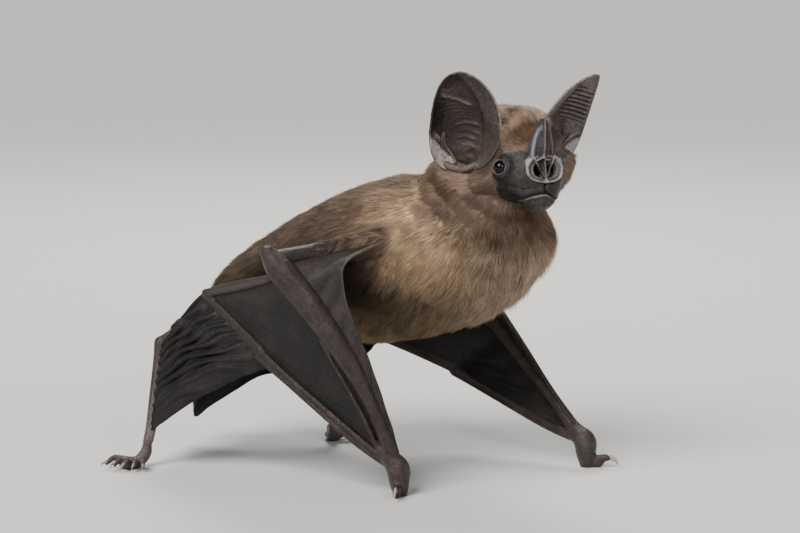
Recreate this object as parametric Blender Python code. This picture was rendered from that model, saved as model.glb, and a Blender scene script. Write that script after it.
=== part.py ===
"""A round-eared leaf-nosed bat in a four-footed stance, as a still life-size model.

The bat faces -Y, its right side is at -X and up is +Z. Places are first given from the point on the
ground midway between its two wrists. ORIGIN moves them to the middle of the model's floor area.
"""

import bpy
import bmesh
import numpy as np
from mathutils import Vector

MM = 0.001

# Driving sizes, in metres.
ORIGIN = np.array((-3.2, 31.7, 0.0)) * MM
GAP = 0.3 * MM                    # left between two nodes that meet
FOREARM = 53.6 * MM
UPPER_ARM = 32.0 * MM
METACARPAL = 40.0 * MM
THIGH = 22.0 * MM
SHIN = 23.0 * MM
MEMBRANE = 0.6 * MM               # thickness of the wing membrane
EAR_LENGTH = 24.0 * MM
EAR_WIDTH = 15.0 * MM
EAR_BEND = 1.3 * MM               # its middle bends in towards the other ear
EAR_WALL = 0.7 * MM
EYE_RADIUS = 1.55 * MM
WELDS = (0.02 * MM, 0.01 * MM, 0.005 * MM, 0.002 * MM)
CLAW_CLEARANCE = 0.15 * MM        # a claw's tip stays just off the floor

# The head: its centre is midway between the bases of the ears.
HEAD_AT = np.array((0.0, -2.5, 72.5)) * MM
HEAD_TURN = 30.0                  # degrees to the bat's right
HEAD_RISE = 10.0                  # degrees that the muzzle points up

FUR_PALE = (0.36, 0.27, 0.19)
FUR_DARK = (0.20, 0.15, 0.115)
FACE_SKIN = (0.055, 0.045, 0.045)
EAR_SKIN = (0.16, 0.115, 0.10)
WING_SKIN = (0.035, 0.028, 0.028)
LIMB_SKIN = (0.11, 0.075, 0.07)
CLAW_HORN = (0.35, 0.31, 0.29)
EYE_BLACK = (0.006, 0.006, 0.007)


def remove_everything():
    for thing in list(bpy.data.objects):
        bpy.data.objects.remove(thing, do_unlink=True)


def material(name, colour, roughness):
    found = bpy.data.materials.get(name)
    if found:
        return found
    made = bpy.data.materials.new(name)
    made.use_nodes = True
    shader = made.node_tree.nodes["Principled BSDF"]
    shader.inputs["Base Color"].default_value = (*colour, 1.0)
    shader.inputs["Roughness"].default_value = roughness
    shader.inputs["Metallic"].default_value = 0.0
    return made


# ---------------------------------------------------------------- curves and frames

def unit(vector):
    vector = np.asarray(vector, float)
    return vector / np.linalg.norm(vector, axis=-1, keepdims=True)


def smooth(stations, count):
    """Rows of stations, joined by a Catmull-Rom curve and read at `count` even steps."""
    rows = np.asarray(stations, float)
    padded = np.vstack((2 * rows[0] - rows[1], rows, 2 * rows[-1] - rows[-2]))
    at = np.linspace(0.0, len(rows) - 1.0, count)
    first = np.minimum(at.astype(int), len(rows) - 2)
    t = (at - first)[:, None]
    a, b, c, d = (padded[first + k] for k in range(4))
    return 0.5 * (2 * b + (c - a) * t + (2 * a - 5 * b + 4 * c - d) * t ** 2
                  + (3 * b - a - 3 * c + d) * t ** 3)


def reach(start, length, heading, rise):
    """The point `length` from start; heading turns from backward (+Y) towards the left (+X)."""
    heading, rise = np.radians((heading, rise))
    step = (np.cos(rise) * np.sin(heading), np.cos(rise) * np.cos(heading), np.sin(rise))
    return np.asarray(start, float) + length * np.array(step)


def turned(yaw_right, rise):
    """Unit vectors ahead, left and up of a body part that is turned and raised by degrees."""
    yaw, lift = np.radians((yaw_right, rise))
    ahead = np.array((-np.sin(yaw) * np.cos(lift), -np.cos(yaw) * np.cos(lift), np.sin(lift)))
    left = np.array((np.cos(yaw), -np.sin(yaw), 0.0))
    return ahead, left, np.cross(ahead, left)


AHEAD, LEFT, UP = turned(HEAD_TURN, HEAD_RISE)


def in_head(ahead, left, up):
    """A point given in millimetres ahead, left and up of the head's centre."""
    return HEAD_AT + (ahead * AHEAD + left * LEFT + up * UP) * MM


# ---------------------------------------------------------------- mesh makers

def new_object(name, vertices, faces, look):
    mesh = bpy.data.meshes.new(name)
    mesh.from_pydata([tuple(v) for v in np.asarray(vertices, float)], [], faces)
    work = bmesh.new()
    work.from_mesh(mesh)
    bmesh.ops.remove_doubles(work, verts=work.verts, dist=0.002 * MM)
    bmesh.ops.recalc_face_normals(work, faces=work.faces)
    work.to_mesh(mesh)
    work.free()
    made = bpy.data.objects.new(name, mesh)
    made.data.materials.append(look)
    bpy.context.scene.collection.objects.link(made)
    return made


def ring_faces(rings, sides):
    """Quads round a stack of rings, with a flat face on each end."""
    faces = []
    for r in range(rings - 1):
        for s in range(sides):
            n = (s + 1) % sides
            faces.append((r * sides + s, r * sides + n, (r + 1) * sides + n, (r + 1) * sides + s))
    faces.append(tuple(range(sides))[::-1])
    faces.append(tuple(range((rings - 1) * sides, rings * sides)))
    return faces


def carried_frames(path, across):
    """A side and an up vector for each point of a path, `across` being the wished side."""
    along = unit(np.gradient(path, axis=0))
    side = np.asarray(across, float) - (along @ np.asarray(across, float))[:, None] * along
    side = unit(side)
    return side, np.cross(along, side)


def tube(name, path, widths, heights, sides, look, across=(1.0, 0.0, 0.0), grow=0.0):
    """An oval profile carried along a path; widths lie along `across`, heights square to it."""
    path = np.array(path, float)
    side, up = carried_frames(path, across)
    if grow:
        path[0] -= unit(path[1] - path[0]) * grow
        path[-1] += unit(path[-1] - path[-2]) * grow
    turn = np.linspace(0.0, 2 * np.pi, sides, endpoint=False)
    cosine, sine = np.cos(turn)[None, :, None], np.sin(turn)[None, :, None]
    widths = np.asarray(widths, float)[:, None, None] + grow
    heights = np.asarray(heights, float)[:, None, None] + grow
    rings = path[:, None, :] + widths * cosine * side[:, None, :] + heights * sine * up[:, None, :]
    return new_object(name, rings.reshape(-1, 3), ring_faces(len(path), sides), look)


def limb(name, stations, rings, sides, look, across=(1.0, 0.0, 0.0), grow=0.0):
    """A tube through stations of (place, half width, half height)."""
    rows = [(*place, width, height) for place, width, height in stations]
    rows = smooth(rows, rings)
    return tube(name, rows[:, :3], rows[:, 3], rows[:, 4], sides, look, across, grow)


def sheet(name, grid, look, thickness=MEMBRANE, grow=0.0):
    """A closed skin of even thickness on both sides of a grid of points."""
    if grow:
        grid = np.array(grid)
        for edge in (grid, grid.transpose(1, 0, 2)):
            edge[0] += unit(edge[0] - edge[1]) * grow
            edge[-1] += unit(edge[-1] - edge[-2]) * grow
        thickness = thickness + 2 * grow
    along = np.gradient(grid, axis=0)
    across = np.gradient(grid, axis=1)
    normal = np.cross(along, across)
    length = np.linalg.norm(normal, axis=2, keepdims=True)
    normal = normal / np.maximum(length, 1e-12)
    rows, columns = grid.shape[:2]
    top = (grid + normal * thickness / 2).reshape(-1, 3)
    under = (grid - normal * thickness / 2).reshape(-1, 3)
    count = rows * columns
    faces = []
    for r in range(rows - 1):
        for c in range(columns - 1):
            a, b = r * columns + c, r * columns + c + 1
            d, e = a + columns, b + columns
            faces.append((a, d, e, b))
            faces.append((a + count, b + count, e + count, d + count))
    rim = [c for c in range(columns)]
    rim += [r * columns + columns - 1 for r in range(1, rows)]
    rim += [(rows - 1) * columns + c for c in range(columns - 2, -1, -1)]
    rim += [r * columns for r in range(rows - 2, 0, -1)]
    for here, after in zip(rim, rim[1:] + rim[:1]):
        faces.append((here, after, after + count, here + count))
    return new_object(name, np.vstack((top, under)), faces, look)


def ruled(edge_a, edge_b, along, across, sag=(0.0, 0.0, 0.0), folds=0, depth=0.0):
    """A grid from one edge curve to the other, sagging between them, with folds along it."""
    a = smooth(edge_a, along)
    b = smooth(edge_b, along)
    v = np.linspace(0.0, 1.0, across)[None, :, None]
    u = np.linspace(0.0, 1.0, along)[:, None, None]
    grid = a[:, None, :] * (1 - v) + b[:, None, :] * v
    grid = grid + np.asarray(sag, float) * 4 * v * (1 - v) * np.sin(np.pi * u) ** 0.5
    if folds:
        normal = unit(np.cross(b[0] - a[0], a[-1] - a[0]))
        wave = np.sin(2 * np.pi * folds * u + 1.5 * v) * 4 * v * (1 - v)
        grid = grid + normal * depth * wave
    return grid


# ---------------------------------------------------------------- joining and cutting

def boolean_step(target, other, operation, solver):
    step = target.modifiers.new(operation, "BOOLEAN")
    step.operation = operation
    step.solver = solver
    step.object = other
    bpy.context.view_layer.update()
    evaluated = target.evaluated_get(bpy.context.evaluated_depsgraph_get())
    result = bpy.data.meshes.new_from_object(evaluated)
    target.modifiers.clear()
    return result


def whole(mesh, least):
    """True for a closed mesh that has at least so many faces."""
    work = bmesh.new()
    work.from_mesh(mesh)
    closed = all(edge.is_manifold for edge in work.edges)
    work.free()
    return closed and len(mesh.polygons) >= least


def boolean(target, others, operation):
    """Applies one Boolean after another: EXACT, or MANIFOLD where that leaves no closed body."""
    for other in others:
        least = len(target.data.polygons) / 3
        result = boolean_step(target, other, operation, "EXACT")
        if not whole(result, least):
            second = boolean_step(target, other, operation, "MANIFOLD")
            if whole(second, least):
                result = second
        target.data = result
    return target


def discard(*things):
    for thing in things:
        bpy.data.objects.remove(thing, do_unlink=True)


def keep_largest(work):
    """Deletes every body of a mesh but the one with most points."""
    left = set(work.verts)
    bodies = []
    while left:
        body = set()
        queue = [left.pop()]
        while queue:
            vertex = queue.pop()
            body.add(vertex)
            near = [edge.other_vert(vertex) for edge in vertex.link_edges]
            near = [v for v in near if v in left]
            left.difference_update(near)
            queue.extend(near)
        bodies.append(body)
    bodies.sort(key=len)
    spare = [v for body in bodies[:-1] for v in body]
    bmesh.ops.delete(work, geom=spare, context="VERTS")


def tidy(target):
    """Welds slivers by the widest distance that leaves the mesh closed, and keeps the largest body."""
    for weld in WELDS:
        work = bmesh.new()
        work.from_mesh(target.data)
        bmesh.ops.remove_doubles(work, verts=work.verts, dist=weld)
        bmesh.ops.dissolve_degenerate(work, edges=work.edges, dist=weld / 4)
        keep_largest(work)
        closed = all(edge.is_manifold for edge in work.edges)
        if closed:
            work.to_mesh(target.data)
        work.free()
        if closed:
            break
    return target


def trim(target, *makers):
    """Cuts a node back from its neighbours, each given as a function that makes it grown."""
    cutters = [maker(GAP) for maker in makers]
    boolean(target, cutters, "DIFFERENCE")
    discard(*cutters)
    return tidy(target)


def slab(centre, normal, thickness, reach_out=80 * MM):
    """A square plate, used to part a body."""
    normal = unit(normal)
    side = unit(np.cross(normal, (0.0, 0.3, 1.0)))
    up = np.cross(normal, side)
    corners = []
    for shift in (-0.5, 0.5):
        for s, u in ((-1, -1), (1, -1), (1, 1), (-1, 1)):
            offset = s * side * reach_out + u * up * reach_out + normal * thickness * shift
            corners.append(np.asarray(centre) + offset)
    faces = [(3, 2, 1, 0), (4, 5, 6, 7)]
    faces += [(k, (k + 1) % 4, (k + 1) % 4 + 4, k + 4) for k in range(4)]
    return new_object("part_slab", corners, faces, material("cutter", FUR_DARK, 0.5))


# ---------------------------------------------------------------- trunk, neck and head

# Ahead to behind: centre across, centre along, centre height, half width, half height.
TRUNK_STATIONS = (
    (0.0, -12.8, 57.2, 3.0, 3.0),
    (0.0, -10.0, 56.9, 8.4, 7.4),
    (0.0, -3.0, 55.4, 13.6, 13.3),
    (0.0, 8.0, 52.2, 16.8, 17.5),
    (-0.4, 21.0, 48.8, 18.2, 19.2),
    (-1.8, 35.0, 45.2, 17.2, 17.9),
    (-3.4, 48.0, 41.8, 14.6, 14.6),
    (-4.8, 58.0, 39.4, 11.6, 11.0),
    (-5.8, 66.0, 37.4, 7.8, 7.2),
    (-6.2, 71.0, 36.2, 3.0, 3.0),
)
NECK_STATIONS = (
    (0.0, 7.5, 54.0, 14.5, 16.0),
    (0.3, 4.0, 62.0, 13.6, 14.6),
    (0.6, 1.2, 68.5, 12.6, 12.6),
    (0.6, 0.0, 72.5, 8.0, 8.0),
)
# Along the head: ahead, middle above its centre, half width, half height.
HEAD_STATIONS = (
    (-11.0, -3.5, 3.5, 3.5),
    (-8.5, -2.5, 8.5, 7.8),
    (-4.0, -0.8, 12.9, 10.4),
    (1.0, -0.4, 15.5, 11.2),
    (5.0, -1.4, 14.6, 11.0),
    (8.5, -3.2, 9.5, 9.2),
    (11.5, -5.0, 7.2, 7.4),
    (14.0, -6.2, 6.0, 6.2),
    (16.2, -6.8, 4.6, 4.6),
    (17.2, -7.0, 2.6, 2.8),
)
NECK_CUT = (np.array((0.0, 4.0, 60.5)) * MM, (0.0, -0.42, 1.0))
HEAD_CUT = (np.array((0.0, 2.0, 64.2)) * MM, (-0.1, -0.28, 1.0))


def body_tube(name, stations, rings, sides, look, grow=0.0):
    rows = smooth(stations, rings) * MM
    return tube(name, rows[:, :3], rows[:, 3], rows[:, 4], sides, look, grow=grow)


def head_tube(name, rings, sides, look, grow=0.0):
    rows = smooth(HEAD_STATIONS, rings)
    path = HEAD_AT + (rows[:, :1] * AHEAD + rows[:, 1:2] * UP) * MM
    return tube(name, path, rows[:, 2] * MM, rows[:, 3] * MM, sides, look, across=LEFT, grow=grow)


def core(grow=0.0):
    """Trunk, neck and head in one closed body, out to the tips of the coat."""
    pale = material("fur_pale", FUR_PALE, 0.85)
    trunk = body_tube("core", TRUNK_STATIONS, 14, 18, pale, grow)
    neck = body_tube("neck_core", NECK_STATIONS, 5, 16, pale, grow)
    head = head_tube("head_core", 13, 16, pale, grow)
    boolean(trunk, (neck, head), "UNION")
    discard(neck, head)
    return tidy(trunk)


def parted_core():
    """Trunk, neck and head as three nodes, parted by two thin cuts."""
    looks = {
        "trunk": material("fur_pale", FUR_PALE, 0.85),
        "neck": material("fur_pale", FUR_PALE, 0.85),
        "head": material("fur_head", FUR_DARK, 0.85),
    }
    deep = 120 * MM
    neck_at, neck_normal = NECK_CUT
    head_at, head_normal = HEAD_CUT
    neck_up, head_up = unit(neck_normal), unit(head_normal)
    above_neck = slab(neck_at + neck_up * (deep - GAP) / 2, neck_up, deep)
    below_neck = slab(neck_at - neck_up * (deep - GAP) / 2, neck_up, deep)
    above_head = slab(head_at + head_up * (deep - GAP) / 2, head_up, deep)
    below_head = slab(head_at - head_up * (deep - GAP) / 2, head_up, deep)
    cuts = {
        "trunk": (above_neck,),
        "neck": (below_neck, above_head),
        "head": (below_neck, below_head),
    }
    nodes = {}
    for name, cutters in cuts.items():
        node = core()
        node.name = name
        node.data.materials.clear()
        node.data.materials.append(looks[name])
        nodes[name] = tidy(boolean(node, cutters, "DIFFERENCE"))
    discard(above_neck, below_neck, above_head, below_head)
    return nodes


# ---------------------------------------------------------------- ears, eyes and nose leaf

EAR_TURN = 36.0                   # degrees that an ear's opening turns out from the muzzle
EAR_LEAN_OUT = 15.5
EAR_LEAN_AHEAD = 27.5
EAR_BASE = (-1.3, 11.1, -2.2)     # ahead, out, up
EAR_WIDEST = 0.42                 # share of the ear's length where it is widest
LEFT_EAR_DROP = 1.4               # millimetres that the left ear is carried lower


def ear_frame(side):
    """Base point and unit vectors up the ear, across it and out of its hollow."""
    drop = LEFT_EAR_DROP if side > 0 else 0.0
    base = in_head(EAR_BASE[0], side * EAR_BASE[1], EAR_BASE[2] - drop)
    across = turned(HEAD_TURN - side * EAR_TURN, 0.0)[1]
    out, ahead = np.radians((EAR_LEAN_OUT, EAR_LEAN_AHEAD))
    head_ahead = unit(np.array((AHEAD[0], AHEAD[1], 0.0)))
    rise = unit(np.array((0.0, 0.0, 1.0)) + LEFT * side * np.tan(out) + head_ahead * np.tan(ahead))
    across = unit(across - rise * (across @ rise))
    return base, rise, across, np.cross(across, rise)


def ear_grid(side, rows=10, columns=8):
    """A scoop: its outline is two half ellipses, and each row is an arc round the hollow."""
    base, rise, across, opening = ear_frame(side)
    v = np.linspace(0.0, 1.0, rows)[:, None, None] ** 0.9
    u = np.linspace(-1.0, 1.0, columns)[None, :, None]
    reach_up = np.where(v > EAR_WIDEST, 1.01 - EAR_WIDEST, EAR_WIDEST + 0.03)
    half = EAR_WIDTH / 2 * np.sqrt(1.0 - ((v - EAR_WIDEST) / reach_up) ** 2)
    arc = np.radians(88.0 - 38.0 * v)
    sideways = half * np.sin(arc * u) / np.sin(arc)
    forward = half * (1.0 - np.cos(arc * u)) / np.sin(arc) - half * 0.6
    inward = EAR_BEND * np.sin(np.pi * v) * -side
    return base + rise * v * EAR_LENGTH + across * (sideways + inward) + opening * forward


def make_ear(side, name):
    look = material("ear_skin", EAR_SKIN, 0.6)
    return sheet(name, ear_grid(side), look, EAR_WALL)


EYE_AT = (9.6, 7.8, -3.2)         # ahead, out, up


def eye_ball(name, side, grow=0.0):
    look = material("eye_black", EYE_BLACK, 0.08)
    centre = in_head(EYE_AT[0], side * EYE_AT[1], EYE_AT[2])
    work = bmesh.new()
    bmesh.ops.create_icosphere(work, subdivisions=2, radius=EYE_RADIUS + grow)
    bmesh.ops.translate(work, verts=work.verts, vec=Vector(centre))
    mesh = bpy.data.meshes.new(name)
    work.to_mesh(mesh)
    work.free()
    made = bpy.data.objects.new(name, mesh)
    made.data.materials.append(look)
    bpy.context.scene.collection.objects.link(made)
    return made


# Up the leaf: height above its foot, how far it stands ahead, half width, half thickness.
LEAF_STATIONS = (
    (-3.4, 17.9, 1.4, 0.60),
    (-2.4, 18.0, 3.2, 0.60),
    (-0.4, 17.7, 4.4, 0.60),
    (1.4, 17.0, 3.9, 0.55),
    (2.4, 16.6, 2.5, 0.50),
    (4.4, 16.4, 2.9, 0.45),
    (6.8, 16.0, 2.5, 0.40),
    (8.8, 15.5, 1.4, 0.35),
    (10.6, 15.0, 0.5, 0.30),
)
LEAF_FOOT = -4.6


def nose_leaf(name, grow=0.0):
    """Horseshoe below and pointed lance above, as one upright leaf."""
    rows = smooth(LEAF_STATIONS, 13)
    path = HEAD_AT + (rows[:, 1:2] * AHEAD + (rows[:, :1] + LEAF_FOOT) * UP) * MM
    look = material("face_skin", FACE_SKIN, 0.5)
    return tube(name, path, rows[:, 2] * MM, rows[:, 3] * MM, 8, look, across=LEFT, grow=grow)


# ---------------------------------------------------------------- wings and legs

class Side:
    """The joints of one side of the body, from bone lengths and the way each bone points."""

    def __init__(self, name, out, wrist, forearm, upper_arm, metacarpal, phalanx, hip, thigh, shin):
        self.name = name
        self.out = out
        self.wrist = np.array(wrist) * MM
        self.elbow = reach(self.wrist, FOREARM, *forearm)
        self.shoulder = reach(self.elbow, UPPER_ARM, *upper_arm)
        self.knuckle = reach(self.wrist, METACARPAL, *metacarpal)
        self.fingertip = reach(self.knuckle, phalanx[0] * MM, *phalanx[1:])
        self.hip = np.array(hip) * MM
        self.knee = reach(self.hip, THIGH, *thigh)
        self.ankle = reach(self.knee, SHIN, *shin)


RIGHT_SIDE = Side(
    "right", -1.0, wrist=(-22.8, 10.8, 5.4), forearm=(-36.8, 59.8), upper_arm=(118.5, 4.5),
    metacarpal=(-11.3, 37.0), phalanx=(23.8, 19.0, 25.5),
    hip=(-8.5, 61.5, 37.5), thigh=(-43.5, -28.0), shin=(-104.0, -68.8))
LEFT_SIDE = Side(
    "left", 1.0, wrist=(22.8, -10.8, 5.4), forearm=(14.7, 41.3), upper_arm=(-117.0, 28.0),
    metacarpal=(7.6, 18.8), phalanx=(21.8, -33.4, 23.5),
    hip=(0.5, 58.0, 37.5), thigh=(64.0, -40.0), shin=(-167.0, -50.0))
FOREARM_BOW = {"right": 3.6 * MM, "left": 0.2 * MM}     # ahead of a straight line


def forearm_line(side, share, back=0.0, out=0.0):
    """A point on the bowed middle line of the forearm, `share` of the way to the wrist."""
    line = side.wrist - side.elbow
    ahead = np.array((0.0, -1.0, 0.25))
    ahead = unit(ahead - unit(line) * (unit(line) @ ahead))
    bow = FOREARM_BOW[side.name] * np.sin(np.pi * share) if 0.0 < share < 1.0 else 0.0
    offset = np.array((side.out * out, 0.0, 0.0)) * MM - ahead * back * MM
    return side.elbow + line * share + ahead * bow + offset


def forearm(side, grow=0.0):
    look = material("limb_skin", LIMB_SKIN, 0.42)
    sizes = ((-0.03, 1.9, 2.0), (0.04, 2.6, 2.7), (0.2, 2.5, 2.7), (0.45, 2.1, 2.2),
             (0.7, 1.7, 1.7), (0.93, 1.5, 1.5))
    stations = [(forearm_line(side, share), wide * MM, deep * MM) for share, wide, deep in sizes]
    return limb("forearm_" + side.name, stations, 11, 10, look, grow=grow)


def upper_arm(side, grow=0.0):
    look = material("limb_skin", LIMB_SKIN, 0.42)
    line = side.shoulder - side.elbow
    sizes = ((0.02, 1.9, 1.9), (0.3, 2.1, 2.4), (0.6, 3.1, 3.8), (0.95, 4.4, 5.4))
    stations = [(side.elbow + line * share, wide * MM, deep * MM) for share, wide, deep in sizes]
    return limb("upper_arm_" + side.name, stations, 6, 10, look, across=(0.0, 1.0, 0.0), grow=grow)


def wrist(side, grow=0.0):
    """The folded wrist: a knob whose lower end is cut off flat where it stands."""
    look = material("limb_skin", LIMB_SKIN, 0.42)
    top = side.wrist + unit(side.elbow - side.wrist) * 2.6 * MM
    foot = np.array((side.wrist[0], side.wrist[1] - 0.5 * MM, -1.0 * MM))
    stations = [(top, 1.5 * MM, 1.5 * MM), (side.wrist, 3.0 * MM, 3.0 * MM),
                (foot * 0.55 + side.wrist * 0.45, 2.5 * MM, 2.6 * MM), (foot, 1.7 * MM, 1.9 * MM)]
    knob = limb("wrist_" + side.name, stations, 7, 10, look, grow=grow)
    thumb = thumb_bone(side, grow)
    boolean(knob, (thumb,), "UNION")
    floor = slab(np.array((0.0, 0.0, -10 * MM - grow)), (0.0, 0.0, 1.0), 20 * MM)
    boolean(knob, (floor,), "DIFFERENCE")
    discard(thumb, floor)
    return tidy(knob)


THUMB_WAY = {"right": (-0.86, -0.42, 0.0), "left": (0.25, -0.97, 0.0)}


def thumb_bone(side, grow=0.0):
    look = material("limb_skin", LIMB_SKIN, 0.42)
    way = np.array(THUMB_WAY[side.name])
    start = np.array((side.wrist[0], side.wrist[1], 2.0 * MM))
    stations = [(start, 1.1 * MM, 1.1 * MM), (start + way * 3.4 * MM, 0.95 * MM, 0.95 * MM),
                (start + way * 5.2 * MM + np.array((0, 0, 0.5 * MM)), 0.85 * MM, 0.85 * MM)]
    return limb("thumb", stations, 4, 7, look, across=(0.0, 0.0, 1.0), grow=grow)


def claw(name, start, way, length, thick, rings=5, sides=6):
    """A hook that curves down from its root; its tip stays clear of the floor."""
    look = material("claw_horn", CLAW_HORN, 0.35)
    t = np.linspace(0.0, 1.0, rings)[:, None]
    drop = max(start[2] - CLAW_CLEARANCE - 0.1 * MM, 0.0)
    path = start + np.asarray(way) * length * np.sin(t * np.pi / 2)
    path = path + np.array((0.0, 0.0, 1.0)) * (0.35 * thick * np.sin(np.pi * t) - drop * t ** 2.0)
    size = thick * (1.0 - t[:, 0]) ** 0.7 + 0.10 * MM
    return tube(name, path, size * 0.75, size, sides, look, across=np.cross(way, (0, 0, 1.0)))


def thumb_claw(side):
    way = np.array(THUMB_WAY[side.name])
    start = np.array((side.wrist[0], side.wrist[1], 2.5 * MM)) + way * 5.7 * MM
    made = claw("thumb_claw_" + side.name, start, way, 2.6 * MM, 0.65 * MM)
    return made


def metacarpals(side, grow=0.0):
    """The long hand bones of the folded wing, side by side in one flat bundle."""
    look = material("limb_skin", LIMB_SKIN, 0.42)
    line = side.knuckle - side.wrist
    start = side.wrist + unit(line) * 3.2 * MM
    low = np.array((0.0, 0.3, -0.75)) * MM
    stations = [(start + low * 0.6, 1.7 * MM, 0.9 * MM),
                (side.wrist + line * 0.3 + low, 2.1 * MM, 0.8 * MM),
                (side.wrist + line * 0.8 + low, 2.0 * MM, 0.75 * MM),
                (side.knuckle + low * 0.6, 2.0 * MM, 1.1 * MM)]
    return limb("metacarpals_" + side.name, stations, 6, 8, look, across=(0.0, -0.5, 0.86), grow=grow)


def phalanges(side, grow=0.0):
    look = material("limb_skin", LIMB_SKIN, 0.42)
    line = side.fingertip - side.knuckle
    start = side.knuckle + unit(line) * 1.6 * MM
    stations = [(start, 1.6 * MM, 0.9 * MM), (side.knuckle + line * 0.5, 1.3 * MM, 0.7 * MM),
                (side.fingertip, 1.2 * MM, 0.9 * MM)]
    return limb("phalanges_" + side.name, stations, 5, 8, look, across=(0.0, -0.5, 0.86), grow=grow)


def roll_end(side):
    """Where the folded fingertips end, just under and behind the elbow."""
    return side.elbow + np.array((side.out * -3.5, 3.0, -5.0)) * MM


def folded_tip(side, grow=0.0):
    """The last finger bones, turned back to the elbow in a roll of membrane."""
    look = material("wing_skin", WING_SKIN, 0.5)
    goal = roll_end(side)
    line = goal - side.fingertip
    start = side.fingertip + unit(line) * 1.7 * MM
    stations = [(start, 0.9 * MM, 1.2 * MM), (side.fingertip + line * 0.5, 1.0 * MM, 1.5 * MM),
                (goal, 0.8 * MM, 1.1 * MM)]
    return limb("folded_tip_" + side.name, stations, 5, 7, look, grow=grow)


def fore_finger(side, grow=0.0):
    """The short second finger, close beside the forearm."""
    look = material("limb_skin", LIMB_SKIN, 0.42)
    stations = [(forearm_line(side, 0.90, 1.6, 1.0), 0.65 * MM, 0.65 * MM),
                (forearm_line(side, 0.70, 1.2, 2.2), 0.6 * MM, 0.6 * MM),
                (forearm_line(side, 0.42, 1.4, 2.8), 0.5 * MM, 0.5 * MM)]
    return limb("fore_finger_" + side.name, stations, 5, 6, look, grow=grow)


def thigh(side, grow=0.0):
    look = material("fur_dark", FUR_DARK, 0.85)
    line = side.knee - side.hip
    stations = [(side.hip, 5.6 * MM, 6.0 * MM), (side.hip + line * 0.45, 3.9 * MM, 4.4 * MM),
                (side.hip + line * 0.8, 2.2 * MM, 2.4 * MM), (side.knee, 1.5 * MM, 1.6 * MM)]
    return limb("thigh_" + side.name, stations, 6, 10, look, grow=grow)


def shin(side, grow=0.0):
    look = material("limb_skin", LIMB_SKIN, 0.42)
    line = side.ankle - side.knee
    sizes = ((0.02, 1.4), (0.2, 1.05), (0.7, 0.8), (1.0, 1.0))
    stations = [(side.knee + line * share, half * MM, half * MM) for share, half in sizes]
    return limb("shin_" + side.name, stations, 6, 8, look, grow=grow)


FOOT_WAY = {"right": (-0.848, 0.53, 0.0), "left": (0.848, 0.53, 0.0)}
TOES = 5
TOE_FAN = 18.0                    # degrees between two toes
TOE_LENGTH = 5.2 * MM
TOE_CLAW = 2.3 * MM


def foot(side, grow=0.0):
    """Heel, sole and five toes with their claws, joined; the sole is cut flat at the floor."""
    look = material("limb_skin", LIMB_SKIN, 0.42)
    way = np.array(FOOT_WAY[side.name])
    below = np.array((side.ankle[0], side.ankle[1], 1.6 * MM))
    stations = [(side.ankle + np.array((0, 0, 0.2 * MM)), 0.9 * MM, 0.9 * MM),
                (side.ankle * 0.4 + below * 0.6 + way * 0.5 * MM, 1.3 * MM, 1.4 * MM),
                (below + way * 2.4 * MM - np.array((0, 0, 0.2 * MM)), 2.0 * MM, 1.5 * MM),
                (below + way * 5.6 * MM - np.array((0, 0, 0.3 * MM)), 2.5 * MM, 1.25 * MM)]
    across = np.cross(way, (0.0, 0.0, 1.0))
    made = limb("foot_" + side.name, stations, 6, 8, look, across=across, grow=grow)
    parts = []
    for toe in range(TOES):
        angle = np.radians((toe - (TOES - 1) / 2) * TOE_FAN)
        direction = way * np.cos(angle) + across * np.sin(angle)
        root = below + way * 4.2 * MM + across * (toe - (TOES - 1) / 2) * 0.85 * MM
        root = root - np.array((0, 0, 0.35 * MM))
        middle = root + direction * TOE_LENGTH * 0.5 + np.array((0, 0, 0.7 * MM))
        end = root + direction * TOE_LENGTH + np.array((0, 0, 0.0))
        parts.append(limb("toe", [(root, 0.75 * MM, 0.75 * MM), (middle, 0.7 * MM, 0.75 * MM),
                                  (end, 0.6 * MM, 0.65 * MM)], 3, 5, look, across=across, grow=grow))
        hook = claw("toe_claw", end - direction * 0.3 * MM, direction, TOE_CLAW, 0.45 * MM, 4, 4)
        parts.append(hook)
    boolean(made, parts, "UNION")
    floor = slab(np.array((0.0, 0.0, -10 * MM - grow)), (0.0, 0.0, 1.0), 20 * MM)
    boolean(made, (floor,), "DIFFERENCE")
    discard(floor, *parts)
    return tidy(made)


def flank_point(share, out, low=0.0):
    """A point on the trunk's side, `share` of the way back along it."""
    steps = 100
    row = smooth(TRUNK_STATIONS, steps + 1)[round(share * steps)] * MM
    return row[:3] + np.array((out * row[3] * 0.93, 0.0, -low * row[4]))


# Shares of the finger and of the hand that the loose leg membrane grows from.
LOOSE_FROM = {"right": (1.0, 0.12), "left": (0.15, 0.0)}
# Shares of the forearm, and how far ahead of it the front membrane's free edge then is.
FRONT_EDGE = ((0.11, 9.7), (0.23, 5.9), (0.36, 4.2), (0.56, 3.3), (0.75, 2.7), (0.92, 2.0))


def front_membrane(side, grow=0.0):
    """The skin from the shoulder to the wrist, ahead of the bent elbow."""
    look = material("wing_skin", WING_SKIN, 0.5)
    inner = [side.elbow] + [forearm_line(side, share) for share, _ in FRONT_EDGE]
    outer = [side.shoulder + np.array((side.out * 7.0, -1.0, -1.5)) * MM]
    outer += [forearm_line(side, share, -depth, -depth) for share, depth in FRONT_EDGE]
    return sheet("front_membrane_" + side.name, ruled(inner, outer, 12, 5), look, grow=grow)


def finger_line(side, finger, hand, steps):
    """Along the fingertip bones to the knuckle, then along the hand, by the shares given."""
    bend = side.fingertip + (side.knuckle - side.fingertip) * finger
    rows = smooth([side.fingertip, bend], steps[0])
    if hand:
        end = side.knuckle + (side.wrist - side.knuckle) * hand
        rows = np.vstack([rows[:-1], smooth([side.knuckle, end], steps[1])])
    return rows


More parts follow.
